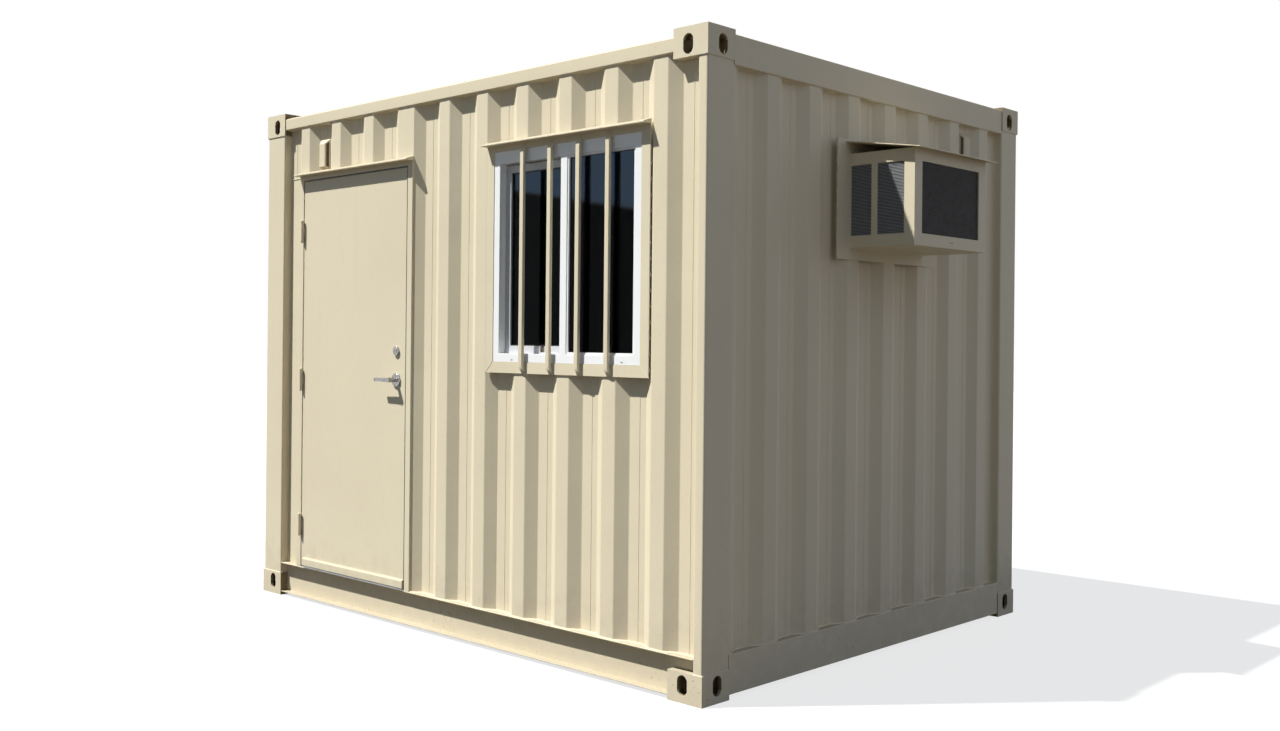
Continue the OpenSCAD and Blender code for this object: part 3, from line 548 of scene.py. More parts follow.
wallLook = {"foldRadius": 3.5 * mm, "roofRadius": 6 * mm, "foldSteps": 3, "footBead": 5.5 * mm,
            "headBead": 3 * mm, "seamBead": 1.5 * mm, "seamPlace": 0.62, "seamRoom": 40 * mm,
            "doorBeadInset": 7 * mm, "roofBeadInset": 160 * mm}


def foldedSheet(name, source, radius):
    piece = copyOf(name, source)
    openEdit(piece)
    choose(piece, "edges", lambda edge: 15 < math.degrees(edge.calc_face_angle(0)) < 45)
    bpy.ops.mesh.bevel(offset=radius, segments=wallLook["foldSteps"], affect="EDGES")
    closeEdit()
    return settle(piece, sheetPaint, replaced=[source])


for title, source in (("frontPiers", "front_wall_piers"), ("frontInfills", "front_wall_infills"),
                      ("backWall", "back_wall"), ("leftEndWall", "left_end_wall"),
                      ("rightPiers", "right_wall_piers"), ("rightInfills", "right_wall_infills")):
    foldedSheet(title, source, wallLook["foldRadius"])
foldedSheet("roofPanel", "roof_panel", wallLook["roofRadius"])

railUnderside = topRailLow.z
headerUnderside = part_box("top_end_rails")[0].z
frontFoot = outlineOf(["front_wall_piers", "front_wall_infills"], deckZ, 0, -1)
overDoor = outlineOf(["front_wall_infills"], doorwayHigh.z, 0, -1)
backFoot = outlineOf(["back_wall"], deckZ, 0, 1)
leftFoot = outlineOf(["left_end_wall"], deckZ, 1, -1)
rightFoot = outlineOf(["right_wall_piers", "right_wall_infills"], deckZ, 1, 1)


def valleyCentres(points, share):
    inner = min((depth for key, depth in points), key=abs)
    return [(keyA + (keyB - keyA) * share, depthA)
            for (keyA, depthA), (keyB, depthB) in zip(points, points[1:])
            if abs(depthA - inner) < mm and abs(depthB - inner) < mm
            and keyB - keyA > wallLook["seamRoom"]]


def seamLines(points, along, foot, head, hole=None):
    lines = []
    for key, depth in valleyCentres(points, wallLook["seamPlace"]):
        spans = [(foot, head)]
        if hole and hole[0] < key < hole[1]:
            spans = [(foot, hole[2]), (hole[3], head)]
        for low, high in spans:
            lines.append([wallSpot(key, depth, low, along), wallSpot(key, depth, high, along)])
    return lines


rightOfDoor = [point for point in frontFoot if point[0] > doorwayHigh.x - mm]
seams = seamLines(rightOfDoor, 0, deckZ, railUnderside,
                  (surroundLow.x, surroundHigh.x, surroundLow.z, hoodsTop))
seams += seamLines(overDoor, 0, doorwayHigh.z, railUnderside)
seams += seamLines(backFoot, 0, deckZ, railUnderside)
seams += seamLines(leftFoot, 1, deckZ, headerUnderside)
seams += seamLines(rightFoot, 1, deckZ, headerUnderside,
                   (wallFrameLow.y, wallFrameHigh.y, wallFrameLow.z, wallFrameHigh.z))
settle(traced("sheetSeams", seams, wallLook["seamBead"]), sheetPaint)

footRuns = [runOf(frontFoot, deckZ, 0, high=doorwayLow.x),
            runOf(frontFoot, deckZ, 0, low=doorwayHigh.x - mm),
            runOf(backFoot, deckZ, 0), runOf(leftFoot, deckZ, 1), runOf(rightFoot, deckZ, 1)]
settle(traced("footWelds", footRuns, wallLook["footBead"]), weldPaint)

headRuns = [runOf(frontFoot, railUnderside, 0, low=doorwayHigh.x - mm),
            runOf(overDoor, railUnderside, 0), runOf(overDoor, doorwayHigh.z, 0),
            runOf(backFoot, railUnderside, 0), runOf(leftFoot, headerUnderside, 1),
            runOf(rightFoot, headerUnderside, 1)]
for points, along, head in ((frontFoot, 0, railUnderside), (backFoot, 0, railUnderside),
                            (leftFoot, 1, headerUnderside), (rightFoot, 1, headerUnderside)):
    for key, depth in (points[0], points[-1]):
        headRuns.append([wallSpot(key, depth, deckZ, along), wallSpot(key, depth, head, along)])
beadY = doorwayLow.y + wallLook["doorBeadInset"]
for side in (doorwayLow.x, doorwayHigh.x):
    headRuns.append([(side, beadY, deckZ), (side, beadY, doorwayHigh.z)])
roofLow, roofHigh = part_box("roof_panel")
for side in (roofLow.y, roofHigh.y):
    headRuns.append([(topRailLow.x, side, topRailHigh.z), (topRailHigh.x, side, topRailHigh.z)])
reachY = postsHigh.y - wallLook["roofBeadInset"]
for side in (roofLow.x, roofHigh.x):
    headRuns.append([(side, -reachY, topRailHigh.z), (side, reachY, topRailHigh.z)])
settle(traced("headWelds", headRuns, wallLook["headBead"]), weldPaint)


def postJoints():  # round the outer faces of each post, at both castings
    lines = []
    insides = sorted({round(vertex.co.x, 4) for vertex in nodes["corner_posts"].data.vertices})
    leftInner = max(x for x in insides if x < 0)
    rightInner = min(x for x in insides if x > 0)
    for height in (postsLow.z, postsHigh.z):
        for outerX, innerX in ((postsLow.x, leftInner), (postsHigh.x, rightInner)):
            for outerY, turn in ((postsLow.y, 1), (postsHigh.y, -1)):
                lines.append([(innerX, outerY, height), (outerX, outerY, height),
                              (outerX, outerY + turn * frameLook["beadRun"], height)])
    return lines


settle(traced("postWelds", postJoints(), frameLook["bead"]), weldPaint)
print("walls, roof and welds made:", len(seams), "seams")


# Linings and floor keep their CAD shape

for source in nodes:
    if "lining" in source or source == "floor_deck":
        for place in nodes[source].material_slots:
            place.material = plywood if source == "floor_deck" else lining


# Door

doorLook = {"leafEdge": 1.6 * mm, "frameEdge": 2 * mm, "sweepEdge": 1.2 * mm, "gap": 5 * mm,
            "gasketFace": 11 * mm, "gasketThick": 4.4 * mm, "gasketEdge": 1.5 * mm,
            "gapShadeProud": 0.6 * mm, "gapShadeDepth": 9 * mm, "gapShadeLap": 1.5 * mm, "gapShadeStart": 30 * mm,
            "headClearance": 0.8 * mm, "sideClearance": 1.5 * mm, "sealEdge": 0.5 * mm}

doorFrame = roundEdges(copyOf("doorFrame", "door_frame"), doorLook["frameEdge"], 2)
settle(doorFrame, doorPaint, replaced=["door_frame"])
doorLeaf = roundEdges(copyOf("doorLeaf", "door_leaf"), doorLook["leafEdge"], 2)
settle(doorLeaf, doorPaint, body="door", replaced=["door_leaf"])
weatherBar = roundEdges(copyOf("weatherBar", "door_sweep"), doorLook["sweepEdge"], 2)
settle(weatherBar, doorPaint, body="door", replaced=["door_sweep"])

inset = doorLook["gap"] - 0.5 * mm
gasketY = leafHigh.y + 0.6 * mm
gasket = ringFrame("doorGasket", (leafLow.x - inset, gasketY, leafLow.z - doorLook["gap"]),
                   (leafHigh.x + inset, gasketY + doorLook["gasketThick"], leafHigh.z + inset),
                   doorLook["gasketFace"])
roundEdges(gasket, doorLook["gasketEdge"], 2)
settle(gasket, rubber)

# a black strip at the front of the door gap, lapping the frame's face: painted shade that darkens
# the gap line
gapShadeLap = doorLook["gap"] + doorLook["gapShadeLap"]
sealFront = doorwayLow.y - doorLook["gapShadeProud"]
sealBack = doorwayLow.y + doorLook["gapShadeDepth"]
gapShadeCorner = (leafHigh.x + gapShadeLap, sealBack, leafHigh.z + gapShadeLap)
headGapShade = block("headGapShade", (leafLow.x + doorLook["gapShadeStart"], sealFront,
                              leafHigh.z + doorLook["headClearance"]), gapShadeCorner)
sideGapShade = block("sideGapShade", (leafHigh.x + doorLook["sideClearance"], sealFront, leafLow.z),
                 gapShadeCorner)
gapShadeStrip = roundEdges(joined("doorGapShade", [headGapShade, sideGapShade]), doorLook["sealEdge"])
settle(gapShadeStrip, rubber)

sillLow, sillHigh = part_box("threshold")
sillLook = {"edge": 0.8 * mm, "ribPitch": 7 * mm, "backPitch": 5.6 * mm, "ribWidth": 2.5 * mm,
            "ribHeight": 1.2 * mm, "ribSunk": 0.5 * mm, "plate": 4 * mm, "ribCount": 6,
            "backRow": 75 * mm, "side": 22 * mm, "front": 4 * mm, "taper": 0.45}

sill = roundEdges(copyOf("sill", "threshold"), sillLook["edge"], 2)
ribY = sillLow.y + sillLook["front"]
plateTop = deckZ + sillLook["plate"]
rib = block("rib", (sillLow.x + sillLook["side"], ribY, plateTop - sillLook["ribSunk"]),
            (sillHigh.x - sillLook["side"], ribY + sillLook["ribWidth"],
             plateTop + sillLook["ribHeight"]))
openEdit(rib)
choose(rib, "faces", lambda part: part.normal.z > 0.9)
bpy.ops.transform.resize(value=(1, sillLook["taper"], 1))
closeEdit()
ribs = [rib]
for row in range(1, sillLook["ribCount"]):
    ribs.append(copied(rib, (0, row * sillLook["ribPitch"], 0)))
for row in range(sillLook["ribCount"]):
    ribs.append(copied(rib, (0, sillLook["backRow"] + row * sillLook["backPitch"], 0)))
settle(joined("sill", [sill] + ribs), aluminium, replaced=["threshold"])


hingeLook = {"edge": 0.6 * mm, "height": 114 * mm, "pinInset": 8 * mm, "tipRise": 3 * mm,
             "tipRadius": 6.5 * mm, "tipTaper": 0.62, "tipRim": 1.4 * mm, "tipDimple": 0.7 * mm}

settle(roundEdges(copyOf("hingeFrameHalves", "hinge_frame_halves"), hingeLook["edge"]), doorPaint,
       replaced=["hinge_frame_halves"])
settle(roundEdges(copyOf("hingeDoorHalves", "hinge_door_halves"), hingeLook["edge"]), doorPaint,
       body="door", replaced=["hinge_door_halves"])
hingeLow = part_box("hinge_frame_halves")[0]
pinX, pinY = hingeLow.x + hingeLook["pinInset"], hingeLow.y + hingeLook["pinInset"]
knuckleZs = sorted({round(vertex.co.z, 4) for vertex in nodes["hinge_frame_halves"].data.vertices})
tips = []
for height in knuckleZs:
    top = any(abs(height - other - hingeLook["height"]) < mm for other in knuckleZs)
    foot = any(abs(other - height - hingeLook["height"]) < mm for other in knuckleZs)
    if top or foot:
        reach = hingeLook["tipRise"] if top else -hingeLook["tipRise"]
        tip = drum("hingeTip", hingeLook["tipRadius"], (pinX, pinY, height),
                   (pinX, pinY, height + reach), 20)
        openEdit(tip)
        choose(tip, "faces", lambda part: part.normal.z * reach > 0.9 * abs(reach))
        bpy.ops.transform.resize(value=(hingeLook["tipTaper"], hingeLook["tipTaper"], 1))
        bpy.ops.mesh.inset(thickness=hingeLook["tipRim"], depth=hingeLook["tipDimple"])
        closeEdit()
        tips.append(tip)
settle(joined("hingeTips", tips), doorPaint)
print("door, sill and hinges made")


# Lock, dead bolt and lever

lockLook = {"roseRadius": 33 * mm, "roseRim": 3.5 * mm, "boltRadius": 22 * mm, "boltRim": 3.2 * mm,
            "slotWidth": 2.2 * mm, "slotHeight": 11 * mm, "slotDepth": 5 * mm,
            "slotRound": 2.6 * mm, "slotRise": 3 * mm}

leverLow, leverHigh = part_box("lever")
trimLow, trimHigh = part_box("lock_trim")
lockX = trimHigh.x - lockLook["roseRadius"]
leverZ = trimLow.z + lockLook["roseRadius"]
boltZ = trimHigh.z - lockLook["boltRadius"]


def rimTest(z, radius):  # edges of a round rim that face away from the leaf
    def test(edge):
        middle = (edge.verts[0].co + edge.verts[1].co) / 2
        away = middle.y < leafLow.y - mm or middle.y > leafHigh.y + mm
        return away and abs(math.hypot(middle.x - lockX, middle.z - z) - radius) < 1.2 * mm
    return test


lockTrim = copyOf("lockTrim", "lock_trim")
for centreZ, radius, rim in ((leverZ, lockLook["roseRadius"], lockLook["roseRim"]),
                             (boltZ, lockLook["boltRadius"], lockLook["boltRim"])):
    roundEdges(lockTrim, rim, 4, rimTest(centreZ, radius))
slotY = (trimLow.y - mm, trimLow.y + lockLook["slotDepth"])
slotHalf = Vector((lockLook["slotWidth"] / 2, 0, lockLook["slotHeight"] / 2))
slotSpots = [Vector((lockX, side, boltZ)) for side in slotY]
slotRise = Vector((0, 0, lockLook["slotRise"]))
keyway = joined("keyway", [
    block("keyway", slotSpots[0] - slotHalf, slotSpots[1] + slotHalf),
    drum("keyway", lockLook["slotRound"], slotSpots[0] + slotRise, slotSpots[1] + slotRise, 16)])


def cutAway(piece, cutter):
    pick(piece)
    hole = piece.modifiers.new("hole", "BOOLEAN")
    hole.object = cutter
    hole.operation = "DIFFERENCE"
    hole.use_self = True
    bpy.ops.object.modifier_apply(modifier="hole")
    bpy.data.objects.remove(cutter)
    return piece


cutAway(lockTrim, keyway)
settle(lockTrim, steel, "door", ["lock_trim"])


gripLook = {"height": 18 * mm, "depth": 12 * mm, "proud": 0.2 * mm, "tipInset": 1.5 * mm,
            "swell": (0.86, 0.96, 0.97, 0.98, 1.0, 1.03, 1.10, 1.16, 1.16), "edge": 3.6 * mm,
            "neckRadius": 10 * mm, "neckFoot": 9.3 * mm, "neckProud": mm, "flare": 1.25,
            "crown": 0.9, "crownRim": 2 * mm, "crownRise": 0.8 * mm, "spindleRadius": 9.6 * mm,
            "spindleEnd": 10 * mm, "hubEdge": 0.8 * mm, "hubReach": 16 * mm}


def gripArm(name, faceY):  # a tapered lever arm, thick at the spindle
    tipX, rootX = leverLow.x + gripLook["tipInset"], lockX
    half = gripLook["height"] / 2
    arm = block(name, (tipX, faceY, leverZ - half),
                (rootX, faceY + gripLook["depth"], leverZ + half))
    openEdit(arm)
    choose(arm, "edges", lambda edge: runsAlong(edge, 0))
    swell = gripLook["swell"]
    bpy.ops.mesh.subdivide(number_cuts=len(swell) - 2)
    step = (rootX - tipX) / (len(swell) - 1)
    for index, size in enumerate(swell):
        choose(arm, "verts", lambda vert: abs(vert.co.x - tipX - index * step) < step / 3)
        bpy.ops.transform.resize(value=(1, 0.78 + size * 0.2, size))
    choose(arm, "edges", lambda edge: edge.calc_face_angle(0) > math.radians(60))
    bpy.ops.mesh.bevel(offset=gripLook["edge"], segments=3, affect="EDGES", clamp_overlap=True)
    closeEdit()
    arm.modifiers.new("smoothing", "SUBSURF").levels = 1
    bpy.ops.object.modifier_apply(modifier="smoothing")
    return arm


def leverHub(faceY, leafY):  # a turned neck from the rose out to the arm
    outward = 1 if faceY > leafY else -1
    foot = leafY + outward * gripLook["neckFoot"]
    hub = drum("leverHub", gripLook["neckRadius"], (lockX, foot, leverZ), (lockX, faceY, leverZ))
    openEdit(hub)
    choose(hub, "faces", lambda part: part.normal.y * outward > 0.9)
    bpy.ops.transform.resize(value=(gripLook["flare"], 1, gripLook["flare"]))
    bpy.ops.mesh.extrude_region_move(TRANSFORM_OT_translate={"value": (0, outward * -0.01 * mm, 0)})
    bpy.ops.transform.resize(value=(gripLook["crown"], 1, gripLook["crown"]))
    bpy.ops.mesh.inset(thickness=gripLook["crownRim"], depth=gripLook["crownRise"])
    closeEdit()
    return hub


leverParts = []
for side, leafY in ((1, leafLow.y), (-1, leafHigh.y)):
    outer = leverLow.y if side > 0 else leverHigh.y
    inner = 0 if side > 0 else gripLook["depth"]
    leverParts.append(leverHub(outer + side * gripLook["neckProud"], leafY))
    leverParts.append(gripArm("leverArm", outer + side * gripLook["proud"] - inner))
leverParts.append(drum("spindle", gripLook["spindleRadius"],
                       (lockX, leafLow.y - gripLook["spindleEnd"], leverZ),
                       (lockX, leafHigh.y + gripLook["spindleEnd"], leverZ), 32))
leverPiece = joined("leverHandles", leverParts)


def nearHub(edge):
    return min(vertex.co.x for vertex in edge.verts) > lockX - gripLook["hubReach"]


roundEdges(leverPiece, gripLook["hubEdge"], 2, nearHub, 50)
settle(leverPiece, steel, "lever", ["lever"], smoothAngle=50)
print("lock, dead bolt and lever made")


# Rain hoods, window surround and bars

plateLook = {"edge": 1.2 * mm, "tack": 3.4 * mm, "tackPitch": 62 * mm, "tackInset": 5 * mm,
             "stretch": 1.4, "bead": 2 * mm, "mitre": 1.1 * mm, "barEdge": 2.6 * mm,
             "barBead": 22 * mm}

settle(roundEdges(copyOf("rainHoods", "rain_hoods"), plateLook["edge"]), sheetPaint,
       replaced=["rain_hoods"])
settle(roundEdges(copyOf("windowSurround", "window_surround"), plateLook["edge"]), sheetPaint,
       replaced=["window_surround"])

windowLow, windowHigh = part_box("window_frame")
faceY = surroundLow.y
mitres = []
for outer, inner in (((surroundLow.x, surroundLow.z), (windowLow.x, windowLow.z)),
                     ((surroundHigh.x, surroundLow.z), (windowHigh.x, windowLow.z)),
                     ((surroundLow.x, surroundHigh.z), (windowLow.x, windowHigh.z)),
                     ((surroundHigh.x, surroundHigh.z), (windowHigh.x, windowHigh.z))):
    mitres.append([(outer[0], faceY, outer[1]), (inner[0], faceY, inner[1])])
settle(traced("mitreJoints", mitres, plateLook["mitre"]), weldPaint)


def tackRow(x, y, low, high):  # short weld tacks up an edge
    start, end = Vector((x, y, low)), Vector((x, y, high))
    count = int((end - start).length / plateLook["tackPitch"])
    step = (end - start) / count
    bpy.ops.object.select_all(action="DESELECT")
    bpy.ops.mesh.primitive_ico_sphere_add(subdivisions=2, radius=plateLook["tack"],
                                          location=start + step / 2)
    tack = bpy.context.object
    tack.scale = (1, 1, 1 + plateLook["stretch"])
    bpy.ops.object.transform_apply(location=True, rotation=True, scale=True)
    return [tack] + [copied(tack, step * index) for index in range(1, count)]


tacks = []
for x in (surroundHigh.x, surroundLow.x):
    tacks += tackRow(x, faceY + plateLook["tackInset"], surroundLow.z, surroundHigh.z)
for y in (wallFrameLow.y, wallFrameHigh.y):
    tacks += tackRow(wallFrameHigh.x - plateLook["tackInset"], y, wallFrameLow.z, wallFrameHigh.z)
settle(joined("weldTacks", tacks), weldPaint)

barsLow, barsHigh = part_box("window_bars")
settle(roundEdges(copyOf("windowBars", "window_bars"), plateLook["barEdge"], 3), sheetPaint,
       replaced=["window_bars"])
barXs = sorted({round(vertex.co.x, 4) for vertex in nodes["window_bars"].data.vertices})
barWelds = []
for left, right in zip(barXs[::2], barXs[1::2]):
    for end, turn in ((barsLow.z, plateLook["barBead"]), (barsHigh.z, -plateLook["barBead"])):
        barWelds.append([(left, faceY, end + turn), (left, faceY, end), (right, faceY, end),
                         (right, faceY, end + turn)])
settle(traced("barWelds", barWelds, plateLook["bead"]), weldPaint)
print("hoods, surround and bars made")


# Window

vinylLook = {"edge": 1.8 * mm, "beadFace": 9 * mm, "beadSetback": 3.5 * mm, "beadEdge": 3 * mm,
             "paneSetback": 12 * mm, "gasketFace": 12 * mm, "gasketThick": 1.8 * mm,
             "gasketEdge": 0.6 * mm, "weepWidth": 16 * mm, "weepHeight": 4 * mm,
             "weepDepth": 8 * mm, "weepRise": 8 * mm, "weepShares": (0.141, 0.889),
             "paneEdge": 0.8 * mm}
sashLook = {"notchFoot": 7 * mm, "notchTop": 36 * mm, "notchDepth": 9 * mm,
            "notchLeft": 234 * mm, "notchRight": 56 * mm, "notchWide": 30 * mm,
            "notchNarrow": 14 * mm, "sealInset": 33 * mm, "sealFront": 6 * mm,
            "sealBack": 10 * mm, "sealFace": 5 * mm, "sealEdge": 1.2 * mm,
            "latchHalf": 30 * mm, "latchInset": 27 * mm, "latchWidth": 18 * mm, "latchBase": 7 * mm,
            "latchRim": 4 * mm, "latchGrip": 9 * mm, "latchEdge": 1.4 * mm}

sashLow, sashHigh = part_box("sliding_sash")
glassLow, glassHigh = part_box("window_glass")
windowFrame = roundEdges(copyOf("windowFrame", "window_frame"), vinylLook["edge"], 3)
weepZ = windowLow.z + vinylLook["weepRise"]
weeps = []
for share in vinylLook["weepShares"]:
    weepX = windowLow.x + (windowHigh.x - windowLow.x) * share
    half = vinylLook["weepWidth"] / 2
    weeps.append(block("weep", (weepX - half, windowLow.y - 2 * mm, weepZ),
                       (weepX + half, windowLow.y + vinylLook["weepDepth"],
                        weepZ + vinylLook["weepHeight"])))
cutAway(windowFrame, joined("weeps", weeps))
settle(windowFrame, vinyl, replaced=["window_frame"])

paneY = windowLow.y + vinylLook["paneSetback"]
beadY = windowLow.y + vinylLook["beadSetback"]
paneCorner = (glassHigh.x, paneY, glassHigh.z)
glazing = ringFrame("glazingBead", (sashHigh.x, beadY, glassLow.z), paneCorner,
                    vinylLook["beadFace"])
openEdit(glazing)
choose(glazing, "edges", lambda edge: edge.calc_face_angle(0) > math.radians(60)
       and max(vertex.co.y for vertex in edge.verts) < beadY + mm / 2)
bpy.ops.mesh.bevel(offset=vinylLook["beadEdge"], segments=3, affect="EDGES", clamp_overlap=True)
closeEdit()
settle(glazing, vinyl)
fixedGasket = ringFrame("fixedGasket", (sashHigh.x, paneY - vinylLook["gasketThick"], glassLow.z),
                        paneCorner, vinylLook["gasketFace"])
settle(roundEdges(fixedGasket, vinylLook["gasketEdge"]), rubber)

sash = roundEdges(copyOf("sash", "sliding_sash"), vinylLook["edge"], 3)
notchY = sashLow.y + sashLook["notchDepth"]
notches = []
for left, width in ((sashLow.x + sashLook["notchLeft"], sashLook["notchWide"]),
                    (sashHigh.x - sashLook["notchRight"], sashLook["notchNarrow"])):
    notches.append(block("notch", (left, sashLow.y - 2 * mm, sashLow.z + sashLook["notchFoot"]),
                         (left + width, notchY, sashLow.z + sashLook["notchTop"])))
cutAway(sash, joined("notches", notches))
settle(sash, sashVinyl, replaced=["sliding_sash"])


def notchBack(face):
    spot = face.calc_center_median()
    return (face.normal.y < -0.9 and abs(spot.y - notchY) < mm / 2
            and spot.z < sashLow.z + sashLook["notchTop"])


# the backs of the sash notches get painted shade
refinish(sash, recessShadePaint, notchBack)
inset = sashLook["sealInset"]
sashGasket = ringFrame("sashGasket",
                       (sashLow.x + inset, sashLow.y + sashLook["sealFront"], sashLow.z + inset),
                       (sashHigh.x - inset, sashLow.y + sashLook["sealBack"], sashHigh.z - inset),
                       sashLook["sealFace"])
settle(roundEdges(sashGasket, sashLook["sealEdge"]), rubber)

panes = roundEdges(copyOf("panes", "window_glass"), vinylLook["paneEdge"])
settle(panes, glass, replaced=["window_glass"])
latchX = sashHigh.x - sashLook["latchInset"]
latchZ = (sashLow.z + sashHigh.z) / 2
latch = block("sashLatch", (latchX, sashHigh.y, latchZ - sashLook["latchHalf"]),
              (latchX + sashLook["latchWidth"], sashHigh.y + sashLook["latchBase"],
               latchZ + sashLook["latchHalf"]))
openEdit(latch)
choose(latch, "faces", lambda part: part.normal.y > 0.9)
bpy.ops.mesh.inset(thickness=sashLook["latchRim"])
bpy.ops.mesh.extrude_region_move(TRANSFORM_OT_translate={"value": (0, sashLook["latchGrip"], 0)})
bpy.ops.transform.resize(value=(0.55, 1, 0.7))
closeEdit()
settle(roundEdges(latch, sashLook["latchEdge"], 3), vinyl)
print("window made")


# Cage for the air conditioner

cageLook = {"edge": 2.2 * mm, "drain": 4 * mm, "drainRise": 25 * mm, "drainSide": 9 * mm,
            "plateEdge": 0.6 * mm, "slatPitch": 6 * mm, "slatDepth": 5.6 * mm, "slatThick": 1 * mm,
            "slatTilt": 58, "slatStandOff": 2.2 * mm, "sunlitDepth": 20 * mm, "hoodEdge": 1 * mm}

cageLow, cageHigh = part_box("cage_frame")
settle(roundEdges(copyOf("cageWallFrame", "cage_wall_frame"), plateLook["edge"]), sheetPaint,
       replaced=["cage_wall_frame"])
cageFrame = roundEdges(copyOf("cageFrame", "cage_frame"), cageLook["edge"], 3)
drains = []
for side in (-1, 1):
    spot = Vector((cageHigh.x, (cageLow.y + cageHigh.y) / 2 + side * cageLook["drainSide"],
                   cageLow.z + cageLook["drainRise"]))
    drains.append(drum("drain", cageLook["drain"], spot + Vector((4 * mm, 0, 0)),
                       spot - Vector((12 * mm, 0, 0)), 20))
cutAway(cageFrame, joined("drains", drains))
settle(cageFrame, sheetPaint, replaced=["cage_frame"])

plates = copyOf("cagePlates", "cage_screens")
pick(plates)
bpy.ops.object.mode_set(mode="EDIT")
bpy.ops.mesh.select_all(action="SELECT")
bpy.ops.mesh.separate(type="LOOSE")
bpy.ops.object.mode_set(mode="OBJECT")
plateParts = [part for part in bpy.context.scene.objects if part.name.startswith("cagePlates")]


def louvreSlats(plate):  # tilted slats in front of one screen plate
    corners = [vertex.co for vertex in plate.data.vertices]
    low = Vector([min(corner[axis] for corner in corners) for axis in range(3)])
    high = Vector([max(corner[axis] for corner in corners) for axis in range(3)])
    size = high - low
    thin = min(range(3), key=lambda axis: size[axis])
    centre = (low + high) / 2
    away = (centre[thin] > (cageLow[thin] + cageHigh[thin]) / 2) * 2 - 1
    half = size / 2
    half[thin] = cageLook["slatThick"] / 2
    half.z = cageLook["slatDepth"] / 2
    count = int(size.z / cageLook["slatPitch"])
    pitch = size.z / count
    spot = centre.copy()
    spot.z = low.z + pitch / 2
    spot[thin] = (high if away > 0 else low)[thin] + away * cageLook["slatStandOff"]
    slat = block("slat", spot - half, spot + half)
    tilt = math.radians(cageLook["slatTilt"]) * away * (1 if thin == 1 else -1)
    turn = Matrix.Rotation(tilt, 4, "X" if thin == 1 else "Y")
    slat.matrix_world = Matrix.Translation(spot) @ turn @ Matrix.Translation(-spot)
    bpy.ops.object.transform_apply(location=True, rotation=True, scale=True)
    rows = slat.modifiers.new("rows", "ARRAY")
    rows.count = count
    rows.use_relative_offset = False
    rows.use_constant_offset = True
    rows.constant_offset_displace = (0, 0, pitch)
    bpy.ops.object.modifier_apply(modifier="rows")
    return slat


slats = [louvreSlats(plate) for plate in plateParts]
for plate in plateParts:
    roundEdges(plate, cageLook["plateEdge"])
settle(joined("cageScreens", plateParts), behindSlatShadePaint, replaced=["cage_screens"])
cageSlats = joined("cageSlats", slats)
settle(cageSlats, shadedSlatPaint)
# the slats on the side the key light falls on get the lit copy: painted light
refinish(cageSlats, sunlitSlatPaint,
         lambda face: face.calc_center_median().y < cageLow.y + cageLook["sunlitDepth"])
settle(roundEdges(copyOf("cageHood", "cage_hood"), cageLook["hoodEdge"]), sheetPaint,
       replaced=["cage_hood"])
hoodLow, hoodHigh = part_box("cage_hood")
cageWelds = [[(wallFrameHigh.x, hoodLow.y, hoodHigh.z), (wallFrameHigh.x, hoodHigh.y, hoodHigh.z)]]
for side in (cageLow.y, cageHigh.y):
    cageWelds.append([(wallFrameHigh.x, side, cageLow.z), (wallFrameHigh.x, side, cageHigh.z)])
cageWelds.append([(wallFrameHigh.x, side, cageLow.z) for side in (cageLow.y, cageHigh.y)])
settle(traced("cageWelds", cageWelds, plateLook["bead"]), weldPaint)
print("cage made:", len(plateParts), "screens")


# Vents

ventLook = {"edge": 4 * mm, "rim": 3.5 * mm, "recess": 5 * mm, "openingArea": 800 * mm * mm}

ventCovers = copyOf("ventCovers", "vents")
roundEdges(ventCovers, ventLook["edge"], 4, sharpest=20)


def slantingSide(face):
    return (min(abs(face.normal.x), abs(face.normal.y)) > 0.5
            and face.calc_area() > ventLook["openingArea"])


openEdit(ventCovers)
choose(ventCovers, "faces", slantingSide)
bpy.ops.mesh.inset(thickness=ventLook["rim"], use_individual=True)
bpy.ops.mesh.inset(thickness=0.5 * mm, depth=-ventLook["recess"], use_individual=True)
closeEdit()
settle(ventCovers, castPaint, replaced=["vents"])
# the recessed slanting sides of the vent covers get painted shade, for the dark of their openings
refinish(ventCovers, recessShadePaint, slantingSide)
print("vents made")


# Floor, light and camera

bpy.ops.object.select_all(action="DESELECT")
bpy.ops.mesh.primitive_plane_add(size=60, location=(0, 0, 0))
ground = bpy.context.object
ground.name = "ground"


def seenPlainly(recipe):  # rays that should meet a plain white studio
    seen = [recipe.add("ShaderNodeLightPath", output=name)
            for name in ("Is Camera Ray", "Is Glossy Ray", "Is Transmission Ray")]
    return seen[0].sum("MAXIMUM", seen[1].sum("MAXIMUM", seen[2]))


lightLook = {"skyTint": rgb(0.54, 0.77, 1.0), "skyStrength": 0.26,
             "floorTint": rgb(0.055, 0.042, 0.027), "floorSeen": rgb(0.76, 0.76, 0.76),
             "floorGlow": 0.75, "keyTowards": Vector((-0.9, -1, 2.1)), "keyStrength": 6.8,
             "keySoftness": 1.0, "keyColour": (1.0, 0.99, 0.95),
             "fillTowards": Vector((1, 0.25, 0.45)), "fillStrength": 0.36, "fillSoftness": 80,
             "fillColour": (0.95, 0.87, 1.0)}

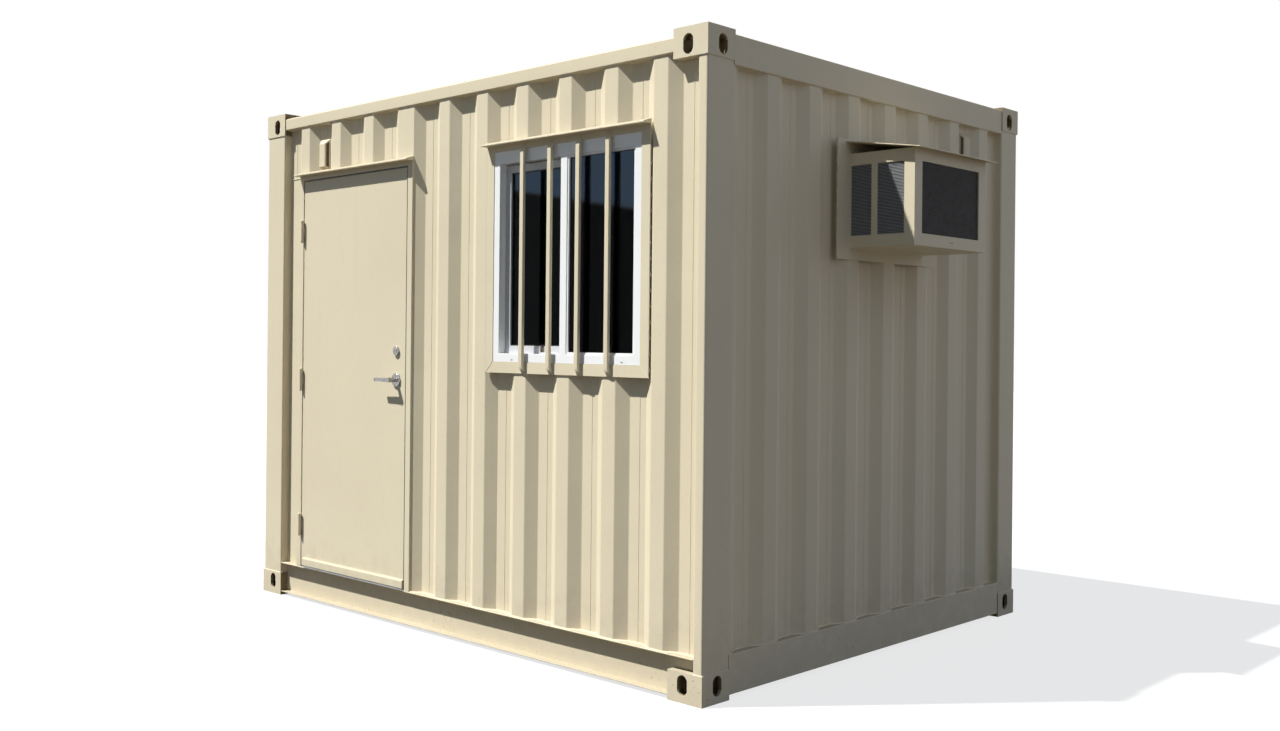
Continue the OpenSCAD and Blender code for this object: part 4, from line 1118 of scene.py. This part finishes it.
floorRecipe = Recipe("groundFinish")
plain = seenPlainly(floorRecipe)
grain = floorRecipe.noise(9, 3) * 0.04 + plain
paper = floorRecipe.add("ShaderNodeBsdfDiffuse", {}, {
    "Color": floorRecipe.blend(grain, lightLook["floorTint"], lightLook["floorSeen"])})
glow = floorRecipe.add("ShaderNodeEmission", {}, {"Color": rgb(1, 1, 1), "Strength": 1.0})
mixed = floorRecipe.add("ShaderNodeMixShader", {},
                        {0: plain * lightLook["floorGlow"], 1: paper, 2: glow})
floorRecipe.plug(floorRecipe.tree.nodes["Material Output"].inputs["Surface"], mixed)
ground.data.materials.append(floorRecipe.material)


class SkyRecipe(Recipe):  # the same node helper on the world's own tree
    def __init__(self, world):
        world.use_nodes = True
        self.tree = world.node_tree
        self.tree.nodes.clear()


world = bpy.data.worlds.new("studio")
bpy.context.scene.world = world
skyRecipe = SkyRecipe(world)
soft = skyRecipe.add("ShaderNodeBackground", {}, {"Color": lightLook["skyTint"],
                                                 "Strength": lightLook["skyStrength"]})
white = skyRecipe.add("ShaderNodeBackground", {}, {"Color": rgb(1, 1, 1), "Strength": 1.0})
choice = skyRecipe.add("ShaderNodeMixShader", {}, {0: seenPlainly(skyRecipe), 1: soft, 2: white})
skyOut = skyRecipe.tree.nodes.new("ShaderNodeOutputWorld")
skyRecipe.plug(skyOut.inputs["Surface"], choice)

for name in ("key", "fill"):
    bpy.ops.object.select_all(action="DESELECT")
    bpy.ops.object.light_add(type="SUN", location=lightLook[name + "Towards"] * 4)
    lamp = bpy.context.object
    lamp.name = name
    lamp.rotation_euler = lightLook[name + "Towards"].to_track_quat("Z", "Y").to_euler()
    lamp.data.energy = lightLook[name + "Strength"]
    lamp.data.angle = math.radians(lightLook[name + "Softness"])
    lamp.data.color = lightLook[name + "Colour"]

cameraLook = {"spot": (4.7543, -4.8215, 1.3799), "yaw": -42.869, "pitch": 0.031, "roll": 0.559,
              "lens": 35.72, "shiftX": -0.0221, "shiftY": -0.0187}
yaw, pitch, roll = (math.radians(cameraLook[name]) for name in ("yaw", "pitch", "roll"))
ahead = Vector((math.sin(yaw) * math.cos(pitch), math.cos(yaw) * math.cos(pitch), math.sin(pitch)))
aside = Vector((math.cos(yaw), -math.sin(yaw), 0))
above = aside.cross(ahead)
lean = math.cos(roll) * aside + math.sin(roll) * above
rise = math.cos(roll) * above - math.sin(roll) * aside
turned = Matrix((lean, rise, -ahead)).transposed().to_4x4()
bpy.ops.object.camera_add()
camera = bpy.context.object
camera.matrix_world = Matrix.Translation(cameraLook["spot"]) @ turned
camera.data.sensor_width = 36
camera.data.lens = cameraLook["lens"]
camera.data.shift_x = cameraLook["shiftX"]
camera.data.shift_y = cameraLook["shiftY"]
bpy.context.scene.camera = camera
bpy.context.scene.view_settings.view_transform = "Standard"
print("stage set")
